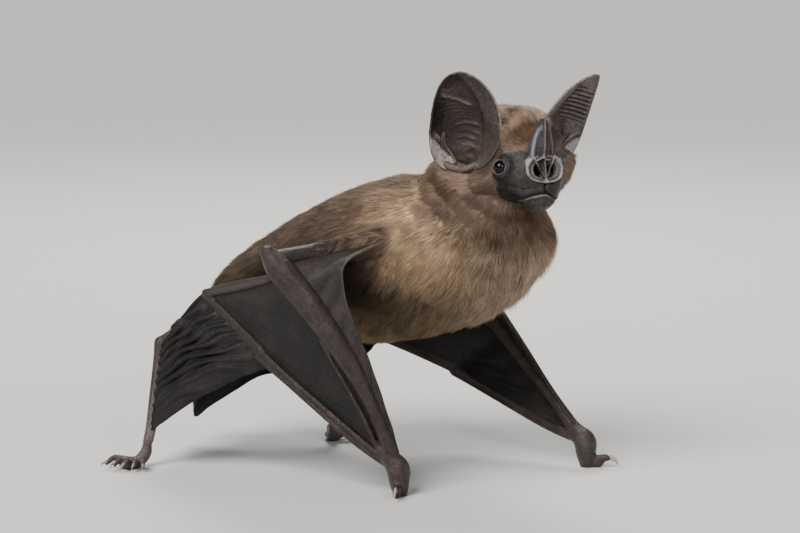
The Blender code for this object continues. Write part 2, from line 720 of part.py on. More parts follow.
def hand_membrane(side, grow=0.0):
    """The taut panel between the forearm and the fingers."""
    look = material("wing_skin", WING_SKIN, 0.5)
    bone = [forearm_line(side, share) for share in (0.06, 0.35, 0.65, 0.93)]
    fingers = finger_line(side, 1.0, 0.93, (4, 7))
    grid = ruled(bone, fingers, 10, 5, sag=(side.out * 0.8 * MM, 0.0, 0.0))
    return sheet("hand_membrane_" + side.name, grid, look, grow=grow)


def leg_membrane(side, grow=0.0):
    """The loose skin from the fingers to the shin, in level folds, its lower edge drawn up."""
    look = material("wing_skin", WING_SKIN, 0.5)
    rows, columns = 12, 6
    fingers = finger_line(side, *LOOSE_FROM[side.name], (7, 2))
    leg = [side.knee, side.ankle + (side.knee - side.ankle) * 0.08]
    sag = (side.out * 2.0 * MM, 0.0, 1.5 * MM)
    grid = ruled(fingers, leg, rows, columns, sag=sag, folds=3.5, depth=0.5 * MM)
    v = np.linspace(0.0, 1.0, columns)[None, :, None]
    u = np.linspace(0.0, 1.0, rows)[:, None, None]
    drawn_up = np.array((0.0, 0.0, 2.2 * MM))
    grid = grid + drawn_up * 4 * v * (1 - v) * u ** 2
    return sheet("leg_membrane_" + side.name, grid, look, grow=grow)


def flank_membrane(side, grow=0.0):
    """The skin that closes the top, from the flank out to the folded fingers and the knee."""
    look = material("wing_skin", WING_SKIN, 0.5)
    goal = roll_end(side)
    outer = [goal, goal * 0.5 + side.fingertip * 0.5, side.fingertip,
             side.knee * 0.75 + side.fingertip * 0.25]
    inner = [flank_point(0.42, side.out, -0.1), flank_point(0.6, side.out, -0.1),
             flank_point(0.8, side.out, 0.0), side.knee * 0.7 + side.hip * 0.3]
    grid = ruled(inner, outer, 9, 4, sag=(0.0, 0.0, 0.8 * MM))
    return sheet("flank_membrane_" + side.name, grid, look, grow=grow)


TAIL_ROOT = np.array((-6.0, 66.5, 35.0)) * MM


def tail(grow=0.0):
    look = material("limb_skin", LIMB_SKIN, 0.42)
    stations = [(TAIL_ROOT, 1.6 * MM, 1.6 * MM),
                (TAIL_ROOT + np.array((0.3, 5.2, -5.0)) * MM, 1.1 * MM, 1.1 * MM),
                (TAIL_ROOT + np.array((1.0, 8.8, -12.0)) * MM, 0.8 * MM, 0.8 * MM)]
    return limb("tail", stations, 5, 7, look, grow=grow)


def tail_membrane(grow=0.0):
    """The skin between the legs, round the tail, its free edge drawn out to a point below."""
    look = material("wing_skin", WING_SKIN, 0.5)
    right, left = RIGHT_SIDE, LEFT_SIDE
    top = [right.knee, TAIL_ROOT + np.array((0.0, 3.0, -2.5)) * MM, left.knee]
    point = np.array((-3.2, 80.0, 6.2)) * MM
    edge = [right.knee * 0.45 + right.ankle * 0.55, point + np.array((-5.5, -4.5, 8.0)) * MM, point,
            point + np.array((4.0, -6.5, 5.0)) * MM, point + np.array((9.5, -13.0, 9.8)) * MM,
            left.knee * 0.62 + left.ankle * 0.38]
    grid = ruled(smooth(top, 12), smooth(edge, 12), 12, 5, sag=(0.0, 2.0 * MM, 0.0))
    return sheet("tail_membrane", grid, look, grow=grow)


# ---------------------------------------------------------------- the whole bat

def of(part, *given):
    """A part's maker that only wants to know how much to grow it."""
    return lambda grow: part(*given, grow)


def make_side(side):
    """The fifteen nodes of one wing and leg, each cut back from those it meets."""
    arm, carpus, upper = of(forearm, side), of(wrist, side), of(upper_arm, side)
    hand, tips, roll = of(metacarpals, side), of(phalanges, side), of(folded_tip, side)
    second, heel = of(fore_finger, side), of(foot, side)
    leg_bones = (of(thigh, side), of(shin, side))
    panel, loose = of(hand_membrane, side), of(leg_membrane, side)
    hand_bones = (arm, carpus, hand, tips, roll)
    return [
        wrist(side),
        thumb_claw(side),
        foot(side),
        trim(forearm(side), carpus),
        trim(metacarpals(side), carpus, arm),
        trim(phalanges(side), hand),
        trim(folded_tip(side), arm, tips, upper),
        trim(fore_finger(side), arm, carpus, hand),
        trim(upper_arm(side), arm, core),
        trim(thigh(side), core),
        trim(shin(side), leg_bones[0], heel),
        trim(front_membrane(side), arm, carpus, upper, core, panel, second),
        trim(hand_membrane(side), *hand_bones, second, upper),
        trim(leg_membrane(side), *hand_bones, *leg_bones, heel, panel),
        trim(flank_membrane(side), *hand_bones, *leg_bones, upper, core, panel, loose),
    ]


def main():
    remove_everything()
    body = parted_core()
    sides = (("right", -1.0), ("left", 1.0))
    made = list(body.values())
    made += [eye_ball("eye_" + name, out) for name, out in sides]
    made.append(nose_leaf("nose_leaf"))
    trim(body["head"], of(nose_leaf, "leaf_cut"), *[of(eye_ball, "eye_cut", out) for _, out in sides])
    made += [trim(make_ear(out, "ear_" + name), core) for name, out in sides]
    for side in (RIGHT_SIDE, LEFT_SIDE):
        made += make_side(side)
    made.append(trim(tail(), core))
    legs = [of(part, side) for side in (RIGHT_SIDE, LEFT_SIDE)
            for part in (thigh, shin, foot, leg_membrane)]
    made.append(trim(tail_membrane(), core, tail, *legs))
    for node in made:
        for vertex in node.data.vertices:
            vertex.co -= Vector(ORIGIN)
        node.data.shade_smooth()
        node.data.set_sharp_from_angle(angle=np.radians(40.0))


main()
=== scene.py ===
"""The finish of a round-eared leaf-nosed bat: one skin, wet eyes, horn claws, a coat of tufts.

Shapes are worked out in millimetres from the point on the ground midway between the two wrists.
They move to the frame's origin, in metres, as they become meshes.
"""

import bpy
import numpy as np
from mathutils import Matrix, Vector, kdtree


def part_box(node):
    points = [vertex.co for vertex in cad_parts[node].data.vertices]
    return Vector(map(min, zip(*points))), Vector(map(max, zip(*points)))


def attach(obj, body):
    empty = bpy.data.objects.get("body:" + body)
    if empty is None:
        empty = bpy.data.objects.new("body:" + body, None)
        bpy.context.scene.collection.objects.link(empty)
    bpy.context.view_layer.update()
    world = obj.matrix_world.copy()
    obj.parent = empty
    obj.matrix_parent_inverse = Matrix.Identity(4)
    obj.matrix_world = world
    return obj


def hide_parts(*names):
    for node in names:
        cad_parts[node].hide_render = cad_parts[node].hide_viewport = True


bl_info = {
    "name": "Leaf-nosed Bat",
    "version": (1, 0, 0),
    "blender": (4, 5, 0),
    "location": "3D View > Sidebar > Bat",
    "description": "Skin, eyes, claws and coat of a standing round-eared leaf-nosed bat",
    "category": "Object",
}

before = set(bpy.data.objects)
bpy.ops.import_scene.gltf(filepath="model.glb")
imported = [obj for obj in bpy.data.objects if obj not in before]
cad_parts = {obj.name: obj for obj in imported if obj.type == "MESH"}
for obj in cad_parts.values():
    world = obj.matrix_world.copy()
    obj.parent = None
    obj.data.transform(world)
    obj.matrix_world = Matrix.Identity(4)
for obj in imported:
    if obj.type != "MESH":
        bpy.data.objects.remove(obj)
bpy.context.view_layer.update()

MM = 0.001
UPWARD = np.array((0.0, 0.0, 1.0))

# The solids' driving sizes, in millimetres and degrees.
HEAD_AT = np.array((0.0, -2.5, 72.5))
HEAD_TURN = 30.0
HEAD_RISE = 10.0
FOREARM = 53.6
UPPER_ARM = 32.0
METACARPAL = 40.0
THIGH = 22.0
SHIN = 23.0
EAR_LENGTH = 24.0
EAR_WIDTH = 15.0
EAR_BEND = 1.3
EYE_RADIUS = 1.55
EYE_AT = (9.6, 7.8, -3.2)         # ahead, out, up


# ---------------------------------------------------------------- curves and frames

def unit(vector):
    """A vector divided by its length."""
    vector = np.asarray(vector, float)
    return vector / np.maximum(np.linalg.norm(vector, axis=-1, keepdims=True), 1e-12)


def ramp(low, high, value):
    """0 below low and 1 above high, joined by the smooth curve 3t^2 - 2t^3."""
    t = np.clip((np.asarray(value, float) - low) / (high - low), 0.0, 1.0)
    return t * t * (3.0 - 2.0 * t)


def bell(value, width):
    """1 at zero, falling as exp(-(value / width)^2)."""
    return np.exp(-(np.asarray(value, float) / width) ** 2)


def fade(low, high, value):
    """1 below low and 0 above high: what a ramp leaves."""
    return 1.0 - ramp(low, high, value)


def spot(width, *offsets):
    """A bell of the distance that the offsets make up."""
    return bell(np.sqrt(sum(offset ** 2 for offset in offsets)), width)


def turns(count):
    """Angles spread evenly round a full turn."""
    return np.linspace(0.0, 2.0 * np.pi, count, endpoint=False)


def uv_of(rows, columns):
    """Shares 0 to 1 down the rows and across the columns of a grid."""
    return np.linspace(0.0, 1.0, rows)[:, None], np.linspace(0.0, 1.0, columns)[None, :]


def smooth(stations, count):
    """Rows of stations, joined by a Catmull-Rom curve and read at `count` even steps."""
    rows = np.asarray(stations, float)
    padded = np.vstack((2 * rows[0] - rows[1], rows, 2 * rows[-1] - rows[-2]))
    at = np.linspace(0.0, len(rows) - 1.0, count)
    first = np.minimum(at.astype(int), len(rows) - 2)
    t = (at - first)[:, None]
    a, b, c, d = (padded[first + k] for k in range(4))
    return 0.5 * (2 * b + (c - a) * t + (2 * a - 5 * b + 4 * c - d) * t ** 2
                  + (3 * b - a - 3 * c + d) * t ** 3)


def reach(start, length, heading, rise):
    """The point `length` from start; heading turns from backward (+Y) towards the left (+X)."""
    heading, rise = np.radians((heading, rise))
    step = (np.cos(rise) * np.sin(heading), np.cos(rise) * np.cos(heading), np.sin(rise))
    return np.asarray(start, float) + length * np.array(step)


def turned(yaw_right, rise):
    """Unit vectors ahead, left and up of a body part that is turned and raised by degrees."""
    yaw, lift = np.radians((yaw_right, rise))
    ahead = np.array((-np.sin(yaw) * np.cos(lift), -np.cos(yaw) * np.cos(lift), np.sin(lift)))
    left = np.array((np.cos(yaw), -np.sin(yaw), 0.0))
    return ahead, left, np.cross(ahead, left)


AHEAD, LEFT, UP = turned(HEAD_TURN, HEAD_RISE)
HEAD_AXES = np.stack((AHEAD, LEFT, UP))


def in_head(ahead, left, up):
    """A point given in millimetres ahead, left and up of the head's centre."""
    return HEAD_AT + ahead * AHEAD + left * LEFT + up * UP


def head_place(points):
    """Places in millimetres ahead, left and up of the head's centre."""
    return (points - HEAD_AT) @ HEAD_AXES.T


def from_head(place):
    """The points that have these places ahead, left and up of the head's centre."""
    return HEAD_AT + place @ HEAD_AXES


def cad_middle(node):
    """The middle of a CAD node's box, in metres in the frame."""
    low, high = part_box(node)
    return np.array((low + high) / 2)


# The frame's origin, seen from the point between the wrists: the right eye is where both know it.
ORIGIN = in_head(EYE_AT[0], -EYE_AT[1], EYE_AT[2]) - cad_middle("eye_right") / MM


def noise(points, size, seed):
    """Smooth values from -1 to 1 that change over `size`: random at the corners of a lattice of
    cells of that size, and blended between them along each of its three ways."""
    table = np.random.default_rng(seed).uniform(-1.0, 1.0, 4096)
    scaled = points / size
    cell = np.floor(scaled).astype(np.int64)
    t = scaled - cell
    t = t * t * (3.0 - 2.0 * t)
    total = np.zeros(len(points))
    for corner in np.ndindex(2, 2, 2):
        k = cell + corner
        slot = (k[:, 0] * 73856093 ^ k[:, 1] * 19349663 ^ k[:, 2] * 83492791) & 4095
        total += table[slot] * np.prod(np.where(corner, t, 1.0 - t), axis=1)
    return total


# ---------------------------------------------------------------- shells: points, quads, triangles

NO_TRIANGLES = np.zeros((0, 3), int)


def grid_quads(rows, columns, closed=False):
    """Quads of a grid of points; closed joins its last column to its first."""
    r = np.arange(rows - 1)[:, None]
    c = np.arange(columns if closed else columns - 1)[None, :]
    n = (c + 1) % columns
    return np.stack((r * columns + c, r * columns + n, (r + 1) * columns + n,
                     (r + 1) * columns + c), axis=2).reshape(-1, 4)


def carried(path, widths, heights, sides, across):
    """Rings of an oval profile carried along a path, its width along `across`."""
    along = unit(np.gradient(path, axis=0))
    across = np.asarray(across, float)
    side = unit(across - (along @ across)[:, None] * along)
    up = np.cross(along, side)
    turn = turns(sides)[None, :, None]
    return (path[:, None, :] + widths[:, None, None] * np.cos(turn) * side[:, None, :]
            + heights[:, None, None] * np.sin(turn) * up[:, None, :])


def closed_rings(rings):
    """A shell from rings of points, each end closed by a fan to the ring's middle."""
    rows, sides = rings.shape[:2]
    points = np.vstack((rings.reshape(-1, 3), rings[0].mean(0), rings[-1].mean(0)))
    s = np.arange(sides)
    n = (s + 1) % sides
    last = (rows - 1) * sides
    first_fan = np.stack((n, s, np.full(sides, rows * sides)), axis=1)
    last_fan = np.stack((last + s, last + n, np.full(sides, rows * sides + 1)), axis=1)
    return points, grid_quads(rows, sides, closed=True), np.vstack((first_fan, last_fan))


def limb(stations, rings, sides, across=(1.0, 0.0, 0.0)):
    """A tube through rows of (x, y, z, half width, half height) with round ends.

    Each end shrinks by the cosine, and goes on by the sine, of a quarter turn."""
    rows = smooth(stations, rings)
    quarter = np.radians((30.0, 55.0, 78.0))[:, None]
    ends = []
    for here, before in ((rows[0], rows[1]), (rows[-1], rows[-2])):
        way = unit(here[:3] - before[:3])
        place = here[:3] + way * np.sin(quarter) * here[3:].mean()
        ends.append(np.hstack((place, here[3:] * np.cos(quarter))))
    rows = np.vstack((ends[0][::-1], rows, ends[1]))
    return closed_rings(carried(rows[:, :3], rows[:, 3], rows[:, 4], sides, across))


def rod(rings, sides, *stations, across=(1.0, 0.0, 0.0)):
    """A limb through stations of (point, half width, half height)."""
    return limb([(*point, wide, high) for point, wide, high in stations], rings, sides, across)


def bone(start, end, rings, sides, *sizes, across=(1.0, 0.0, 0.0)):
    """A straight limb from sizes of (share of its length, half width, half height)."""
    sizes = np.asarray(sizes, float)
    return limb(np.hstack((start + (end - start) * sizes[:, :1], sizes[:, 1:])),
                rings, sides, across)


def grid_normals(grid):
    """Unit normals of a grid: its change down the rows crossed with that across."""
    return unit(np.cross(np.gradient(grid, axis=0), np.gradient(grid, axis=1)))


def sheet(grid, thickness):
    """A closed skin: the grid moved out and in along its normals by half the thickness."""
    rows, columns = grid.shape[:2]
    half = np.broadcast_to(np.asarray(thickness, float), (rows, columns))[:, :, None] / 2
    move = grid_normals(grid) * half
    count = rows * columns
    face = grid_quads(rows, columns)
    rim = np.concatenate((np.arange(columns), np.arange(1, rows) * columns + columns - 1,
                          (rows - 1) * columns + np.arange(columns - 2, -1, -1),
                          np.arange(rows - 2, 0, -1) * columns))
    after = np.roll(rim, -1)
    wall = np.stack((rim, rim + count, after + count, after), axis=1)
    points = np.vstack(((grid + move).reshape(-1, 3), (grid - move).reshape(-1, 3)))
    return points, np.vstack((face[:, ::-1], face + count, wall[:, ::-1])), NO_TRIANGLES


def joined(shells):
    """Several shells as one."""
    starts = np.cumsum([0] + [len(shell[0]) for shell in shells[:-1]])
    return (np.vstack([shell[0] for shell in shells]),
            *(np.vstack([shell[k] + start for shell, start in zip(shells, starts)])
              for k in (1, 2)))


def placed(name, data):
    """A new object in the scene."""
    made = bpy.data.objects.new(name, data)
    bpy.context.scene.collection.objects.link(made)
    return made


def put_mesh(name, shell):
    """A new mesh object from a shell, moved from millimetres to the frame."""
    points, quads, triangles = shell
    loops = np.concatenate((quads.ravel(), triangles.ravel())).astype(np.int32)
    sizes = np.concatenate((np.full(len(quads), 4), np.full(len(triangles), 3)))
    starts = np.concatenate(((0,), np.cumsum(sizes)[:-1])).astype(np.int32)
    mesh = bpy.data.meshes.new(name)
    mesh.vertices.add(len(points))
    mesh.loops.add(len(loops))
    mesh.polygons.add(len(sizes))
    mesh.vertices.foreach_set("co", ((points - ORIGIN) * MM).astype(np.float32).ravel())
    mesh.loops.foreach_set("vertex_index", loops)
    mesh.polygons.foreach_set("loop_start", starts)
    mesh.update(calc_edges=True)
    mesh.shade_smooth()
    return placed(name, mesh)


def fused(shells, voxel):
    """One closed mesh of quads round overlapping shells, by the voxel remesher."""
    piece = put_mesh("fusing", joined(shells))
    remesh = piece.modifiers.new("fuse", "REMESH")
    remesh.mode = "VOXEL"
    remesh.voxel_size = voxel * MM
    bpy.context.view_layer.update()
    evaluated = piece.evaluated_get(bpy.context.evaluated_depsgraph_get())
    mesh = evaluated.to_mesh()
    points = np.empty(len(mesh.vertices) * 3, np.float32)
    mesh.vertices.foreach_get("co", points)
    sizes = np.empty(len(mesh.polygons), np.int32)
    mesh.polygons.foreach_get("loop_total", sizes)
    loops = np.empty(len(mesh.loops), np.int32)
    mesh.loops.foreach_get("vertex_index", loops)
    starts = np.cumsum(sizes) - sizes
    quads = loops[starts[sizes == 4][:, None] + np.arange(4)]
    triangles = loops[starts[sizes == 3][:, None] + np.arange(3)]
    evaluated.to_mesh_clear()
    bpy.data.objects.remove(piece, do_unlink=True)
    return points.reshape(-1, 3).astype(float) / MM + ORIGIN, quads, triangles


def edges_of(shell):
    """Both ends of each side of each face."""
    faces = [part for part in shell[1:] if len(part)]
    a = np.concatenate([part.ravel() for part in faces])
    b = np.concatenate([np.roll(part, -1, axis=1).ravel() for part in faces])
    return np.concatenate((a, b)), np.concatenate((b, a))


def relaxed(shell, weight, rounds):
    """Moves points towards the mean of their neighbours by a weight, several times over."""
    points = shell[0].copy()
    moving = weight > 1e-3
    here, there = edges_of(shell)
    kept = moving[here]
    here, there = here[kept], there[kept]
    count = np.maximum(np.bincount(here, minlength=len(points)), 1)[:, None]
    weight = np.where(moving, weight, 0.0)[:, None]
    for _ in range(rounds):
        mean = np.stack([np.bincount(here, points[there, k], minlength=len(points))
                         for k in range(3)], axis=1) / count
        points += weight * (mean - points)
    return points, shell[1], shell[2]


def normals_of(shell):
    """Unit normals at points, each the sum of its faces' normals."""
    points = shell[0]
    total = np.zeros_like(points)
    for part in shell[1:]:
        if len(part):
            face = np.cross(points[part[:, 2]] - points[part[:, 0]],
                            points[part[:, -1]] - points[part[:, 1]])
            for corner in part.T:
                for k in range(3):
                    total[:, k] += np.bincount(corner, face[:, k], minlength=len(points))
    return unit(total)


# ---------------------------------------------------------------- trunk, neck and head

COAT = 1.5                        # depth of the lying coat on trunk and neck
HEAD_COAT = 0.9

# Ahead to behind: centre across, centre along, centre height, half width, half height.
TRUNK_STATIONS = (
    (0.0, -12.8, 57.2, 3.0, 3.0),
    (0.0, -10.0, 56.9, 8.4, 7.4),
    (0.0, -3.0, 55.4, 13.6, 13.3),
    (0.0, 8.0, 52.2, 16.8, 17.5),
    (-0.4, 21.0, 48.8, 18.2, 19.2),
    (-1.8, 35.0, 45.2, 17.2, 17.9),
    (-3.4, 48.0, 41.8, 14.6, 14.6),
    (-4.8, 58.0, 39.4, 11.6, 11.0),
    (-5.8, 66.0, 37.4, 7.8, 7.2),
    (-6.2, 71.0, 36.2, 3.0, 3.0),
)
NECK_STATIONS = (
    (0.0, 7.5, 54.0, 14.5, 16.0),
    (0.3, 4.0, 62.0, 13.6, 14.6),
    (0.6, 1.2, 68.5, 12.6, 12.6),
    (0.6, 0.0, 72.5, 8.0, 8.0),
)
# Along the head: ahead, middle above its centre, half width, half height.
HEAD_STATIONS = (
    (-11.0, -3.5, 3.5, 3.5),
    (-8.5, -2.5, 8.5, 7.8),
    (-4.0, -0.8, 12.9, 10.4),
    (1.0, -0.4, 15.5, 11.2),
    (5.0, -1.4, 14.6, 11.0),
    (8.5, -3.2, 9.5, 9.2),
    (11.5, -5.0, 7.2, 7.4),
    (14.0, -6.2, 6.0, 6.2),
    (16.2, -6.8, 4.6, 4.6),
    (17.2, -7.0, 2.6, 2.8),
)


def hide(path, sizes, depth, sides, across=(1.0, 0.0, 0.0)):
    """A loft of ovals, set in from their half widths and heights by the coat's depth."""
    return closed_rings(carried(path, *np.maximum(sizes.T - depth, 0.4), sides, across))


def trunk_place(points):
    """How far back each point is along the trunk, 0 to 1, and its offset from the middle."""
    rows = smooth(TRUNK_STATIONS, 200)
    share = np.interp(points[:, 1], rows[:, 1], np.linspace(0.0, 1.0, len(rows)))
    middle = np.stack([np.interp(points[:, 1], rows[:, 1], rows[:, k]) for k in range(3)], axis=1)
    return share, points - middle


# ---------------------------------------------------------------- wings and legs

class Side:
    """The joints of one side of the body, from bone lengths and the way each bone points."""

    def __init__(self, name, out, wrist, forearm, upper_arm, metacarpal, phalanx, hip, thigh, shin):
        self.name = name
        self.out = out
        self.wrist = np.array(wrist)
        self.elbow = reach(self.wrist, FOREARM, *forearm)
        self.shoulder = reach(self.elbow, UPPER_ARM, *upper_arm)
        self.knuckle = reach(self.wrist, METACARPAL, *metacarpal)
        self.fingertip = reach(self.knuckle, *phalanx)
        self.hip = np.array(hip)
        self.knee = reach(self.hip, THIGH, *thigh)
        self.ankle = reach(self.knee, SHIN, *shin)
        self.roll_end = self.elbow + (out * -3.5, 3.0, -5.0)


RIGHT_SIDE = Side(
    "right", -1.0, wrist=(-22.8, 10.8, 5.4), forearm=(-36.8, 59.8), upper_arm=(118.5, 4.5),
    metacarpal=(-11.3, 37.0), phalanx=(23.8, 19.0, 25.5),
    hip=(-8.5, 61.5, 37.5), thigh=(-43.5, -28.0), shin=(-104.0, -68.8))
LEFT_SIDE = Side(
    "left", 1.0, wrist=(22.8, -10.8, 5.4), forearm=(14.7, 41.3), upper_arm=(-117.0, 28.0),
    metacarpal=(7.6, 18.8), phalanx=(21.8, -33.4, 23.5),
    hip=(0.5, 58.0, 37.5), thigh=(64.0, -40.0), shin=(-167.0, -50.0))
SIDES = (RIGHT_SIDE, LEFT_SIDE)
FOREARM_BOW = {"right": 3.6, "left": 0.2}               # ahead of a straight line
THUMB_WAY = {"right": (-0.86, -0.42, 0.0), "left": (0.25, -0.97, 0.0)}
FOOT_WAY = {"right": (-0.848, 0.53, 0.0), "left": (0.848, 0.53, 0.0)}
TOES = 5
TOE_FAN = 78.0                    # degrees from the first toe to the last
TOE_LENGTH = 5.2
SOLE_HEIGHT = 1.6                 # of the middle of the foot
FINGER_GAP = np.array((0.0, -0.5, 0.86))                # the way between two folded fingers
# Shares of the forearm, and how far ahead of it the front membrane's free edge then is.
FRONT_EDGE = ((0.11, 9.7), (0.23, 5.9), (0.36, 4.2), (0.52, 3.1), (0.72, 2.0), (0.9, 1.3),
              (0.97, 0.6))
# Shares of the finger and of the hand that the loose leg membrane grows from.
LOOSE_FROM = {"right": (1.0, 0.12), "left": (0.15, 0.0)}
TAIL_ROOT = np.array((-6.0, 66.5, 35.0))


def forearm_line(side, share, back=0.0, out=0.0):
    """Points on the bowed middle line of the forearm; share runs from the elbow to the wrist."""
    share = np.asarray(share, float)[..., None]
    line = side.wrist - side.elbow
    ahead = np.array((0.0, -1.0, 0.25))
    ahead = unit(ahead - unit(line) * (unit(line) @ ahead))
    bow = FOREARM_BOW[side.name] * np.sin(np.pi * np.clip(share, 0.0, 1.0))
    back = np.asarray(back, float)[..., None]
    out = np.asarray(out, float)[..., None]
    return side.elbow + line * share + ahead * (bow - back) + np.array((side.out, 0.0, 0.0)) * out


def wrist_and_thumb(side):
    """The folded wrist's knob, its flat pad on the ground, and the thumb beside it."""
    up_arm = unit(side.elbow - side.wrist)
    top = side.wrist + up_arm * 3.0
    foot = np.array((side.wrist[0], side.wrist[1] - 0.5, 0.9))
    way = np.array(THUMB_WAY[side.name])
    start = np.array((side.wrist[0], side.wrist[1], 2.0))
    return [
        rod(24, 28, (top + up_arm * 2.5, 1.5, 1.5), (top, 2.1, 2.1),
            (side.wrist + (0, 0, 0.4), 2.6, 2.6), (foot * 0.5 + side.wrist * 0.5, 2.15, 2.3),
            (foot, 1.6, 1.8)),
        rod(20, 16, (start, 1.1, 1.1), (start + way * 3.0, 0.9, 1.0),
            (start + way * 4.4 + (0, 0, 0.3), 1.0, 1.05),
            (start + way * 5.6 + (0, 0, 0.4), 0.62, 0.7), across=UPWARD),
        rod(8, 14, (start + way * 2.2 - (0, 0, 0.9), 1.25, 1.0),
            (start + way * 3.4 - (0, 0, 0.9), 1.15, 0.9), across=UPWARD)]


def foot_axes(side):
    """The point below the ankle, the way the foot points and the way across it."""
    way = np.array(FOOT_WAY[side.name])
    return np.array((*side.ankle[:2], SOLE_HEIGHT)), way, np.cross(way, UPWARD)


def toe_line(side, toe):
    """A toe's root, middle, end and direction; the toes fan from straight on round to the front."""
    below, way, across = foot_axes(side)
    across = across * -side.out
    share = toe / (TOES - 1)
    angle = np.radians(TOE_FAN * (share - 1.0) + 8.0)
    direction = way * np.cos(angle) + across * np.sin(angle)
    root = below + way * (1.9 + 2.3 * share) + across * (2.6 * share - 1.9) + (0.0, 0.0, 0.1)
    length = TOE_LENGTH * (0.62 + 0.38 * share)
    middle = root + direction * length * 0.5 + (0.0, 0.0, 0.9)
    return root, middle, root + direction * length - (0.0, 0.0, 0.35), direction


def foot_shells(side):
    """A sole that widens to the toes, and the toes, each swollen at its knuckle."""
    below, way, across = foot_axes(side)
    shells = [rod(20, 20, (side.ankle + (0, 0, 0.2), 0.9, 0.9),
                  (side.ankle * 0.4 + below * 0.6 + way * 0.5, 1.25, 1.4),
                  (below + way * 2.4 - (0, 0, 0.2), 1.8, 1.35),
                  (below + way * 5.2 - (0, 0, 0.4), 2.4, 1.1), across=across)]
    for toe in range(TOES):
        root, middle, end, direction = toe_line(side, toe)
        knuckle = middle + direction * 1.1 - (0.0, 0.0, 0.1)
        shells.append(rod(14, 12, (root, 0.72, 0.8), (middle - direction * 0.6, 0.52, 0.6),
                          (knuckle, 0.72, 0.74), (end, 0.5, 0.55),
                          across=np.cross(direction, UPWARD)))
    return shells


def limb_shells(side):
    """The bare and furred limbs of one side, as tubes that overlap at the joints."""
    share = np.array((-0.03, 0.04, 0.12, 0.28, 0.5, 0.72, 0.95))
    wide = np.array((1.6, 2.75, 2.9, 2.6, 2.0, 1.35, 1.5))
    forearm = limb(np.column_stack((forearm_line(side, share), wide, wide * 1.06)), 60, 28)
    upper_arm = bone(side.elbow, side.shoulder, 30, 28, (0.0, 1.8, 1.8), (0.3, 1.7, 1.9),
                     (0.6, 2.0, 2.5), (0.95, 2.8, 3.6), across=(0.0, 1.0, 0.0))
    sag = np.array((0.0, 0.3, -0.75))
    outward = np.array((side.out * 0.5, 0.0, 0.0))
    hand = []
    line = side.knuckle - side.wrist
    for lift, size in ((0.66, 0.78), (-0.74, 0.68)):
        shift = FINGER_GAP * lift + outward
        hand.append(rod(40, 14, (side.wrist + line * 0.03 + shift * 0.5, 0.9, size),
                        (side.wrist + line * 0.3 + sag + shift, size, size * 0.95),
                        (side.wrist + line * 0.8 + sag + shift, size * 0.95, size * 0.85),
                        (side.knuckle + sag * 0.6 + shift, size * 1.45, size * 1.35)))
    line = side.fingertip - side.knuckle
    for lift, size in ((0.55, 0.70), (-0.60, 0.58)):
        shift = FINGER_GAP * lift + outward
        hand.append(rod(24, 12, (side.knuckle + shift, size * 1.5, size * 1.5),
                        (side.knuckle + line * 0.5 + shift, size, size),
                        (side.fingertip + shift * 0.5, size * 1.5, size * 1.4)))
    line = side.roll_end - side.fingertip
    roll = rod(24, 16, (side.fingertip, 0.9, 1.1), (side.fingertip + line * 0.5, 1.0, 1.4),
               (side.roll_end, 0.8, 1.0))
    second = rod(44, 12, *((forearm_line(side, share, back, out), size, size)
                           for share, back, out, size in ((0.99, 0.9, 0.9, 0.7),
                                                          (0.91, 2.3, 0.9, 0.58),
                                                          (0.72, 2.6, 1.0, 0.52),
                                                          (0.38, 2.7, 0.9, 0.35))))
    thigh = bone(side.hip, side.knee, 30, 24,
                 (0.0, 4.0, 4.3), (0.45, 2.7, 3.1), (0.8, 1.7, 1.9), (1.0, 1.45, 1.5))
    shin = bone(side.knee, side.ankle, 36, 18, (0.0, 1.7, 1.7), (0.15, 1.35, 1.4),
                (0.5, 1.1, 1.2), (0.85, 0.95, 1.0), (1.0, 1.15, 1.15))
    inside = np.array((0.0, -1.75, 0.0))
    small = bone(side.knee + inside * 0.8, side.ankle + inside * 0.7, 30, 12,
                 (0.06, 0.6, 0.6), (0.5, 0.55, 0.55), (0.85, 0.6, 0.6), (1.0, 0.35, 0.35))
    return ([forearm, upper_arm, roll, second, thigh, shin, small] + hand
            + wrist_and_thumb(side) + foot_shells(side))


def tail_shell():
    """A tube that tapers down and back from the tail's root."""
    return rod(24, 16, (TAIL_ROOT, 1.5, 1.5), (TAIL_ROOT + (0.3, 5.2, -5.0), 1.05, 1.05),
               (TAIL_ROOT + (1.0, 8.8, -12.0), 0.7, 0.7))


# ---------------------------------------------------------------- membranes

WEB_THICKNESS = 0.45
WEB_ROOT = 0.05                   # how far across a membrane its thicker root reaches
FRONT_GRID = (90, 26)

def ruled(edge_a, edge_b, rows, columns, sag=(0.0, 0.0, 0.0)):
    """A grid from one edge curve to the other, sagging by a parabola between them."""
    a = smooth(edge_a, rows)[:, None, :]
    b = smooth(edge_b, rows)[:, None, :]
    u, v = (share[:, :, None] for share in uv_of(rows, columns))
    return a * (1 - v) + b * v + np.asarray(sag, float) * 4 * v * (1 - v) * np.sin(np.pi * u) ** 0.5


def lifted(grid, height):
    """The grid moved along its own normals."""
    return grid + grid_normals(grid) * height[:, :, None]


def web(grid, root=1.5):
    """A membrane that thickens towards its first and last column, where it meets bone."""
    v = uv_of(*grid.shape[:2])[1]
    return sheet(grid, WEB_THICKNESS
                 + root * (np.exp(-v / WEB_ROOT) + np.exp(-(1.0 - v) / WEB_ROOT)))


def finger_line(side, finger, hand, steps):
    """Along the fingertip bones to the knuckle, then along the hand, by the shares given."""
    bend = side.fingertip + (side.knuckle - side.fingertip) * finger
    rows = smooth([side.fingertip, bend], steps[0])
    if hand:
        end = side.knuckle + (side.wrist - side.knuckle) * hand
        rows = np.vstack([rows[:-1], smooth([side.knuckle, end], steps[1])])
    return rows


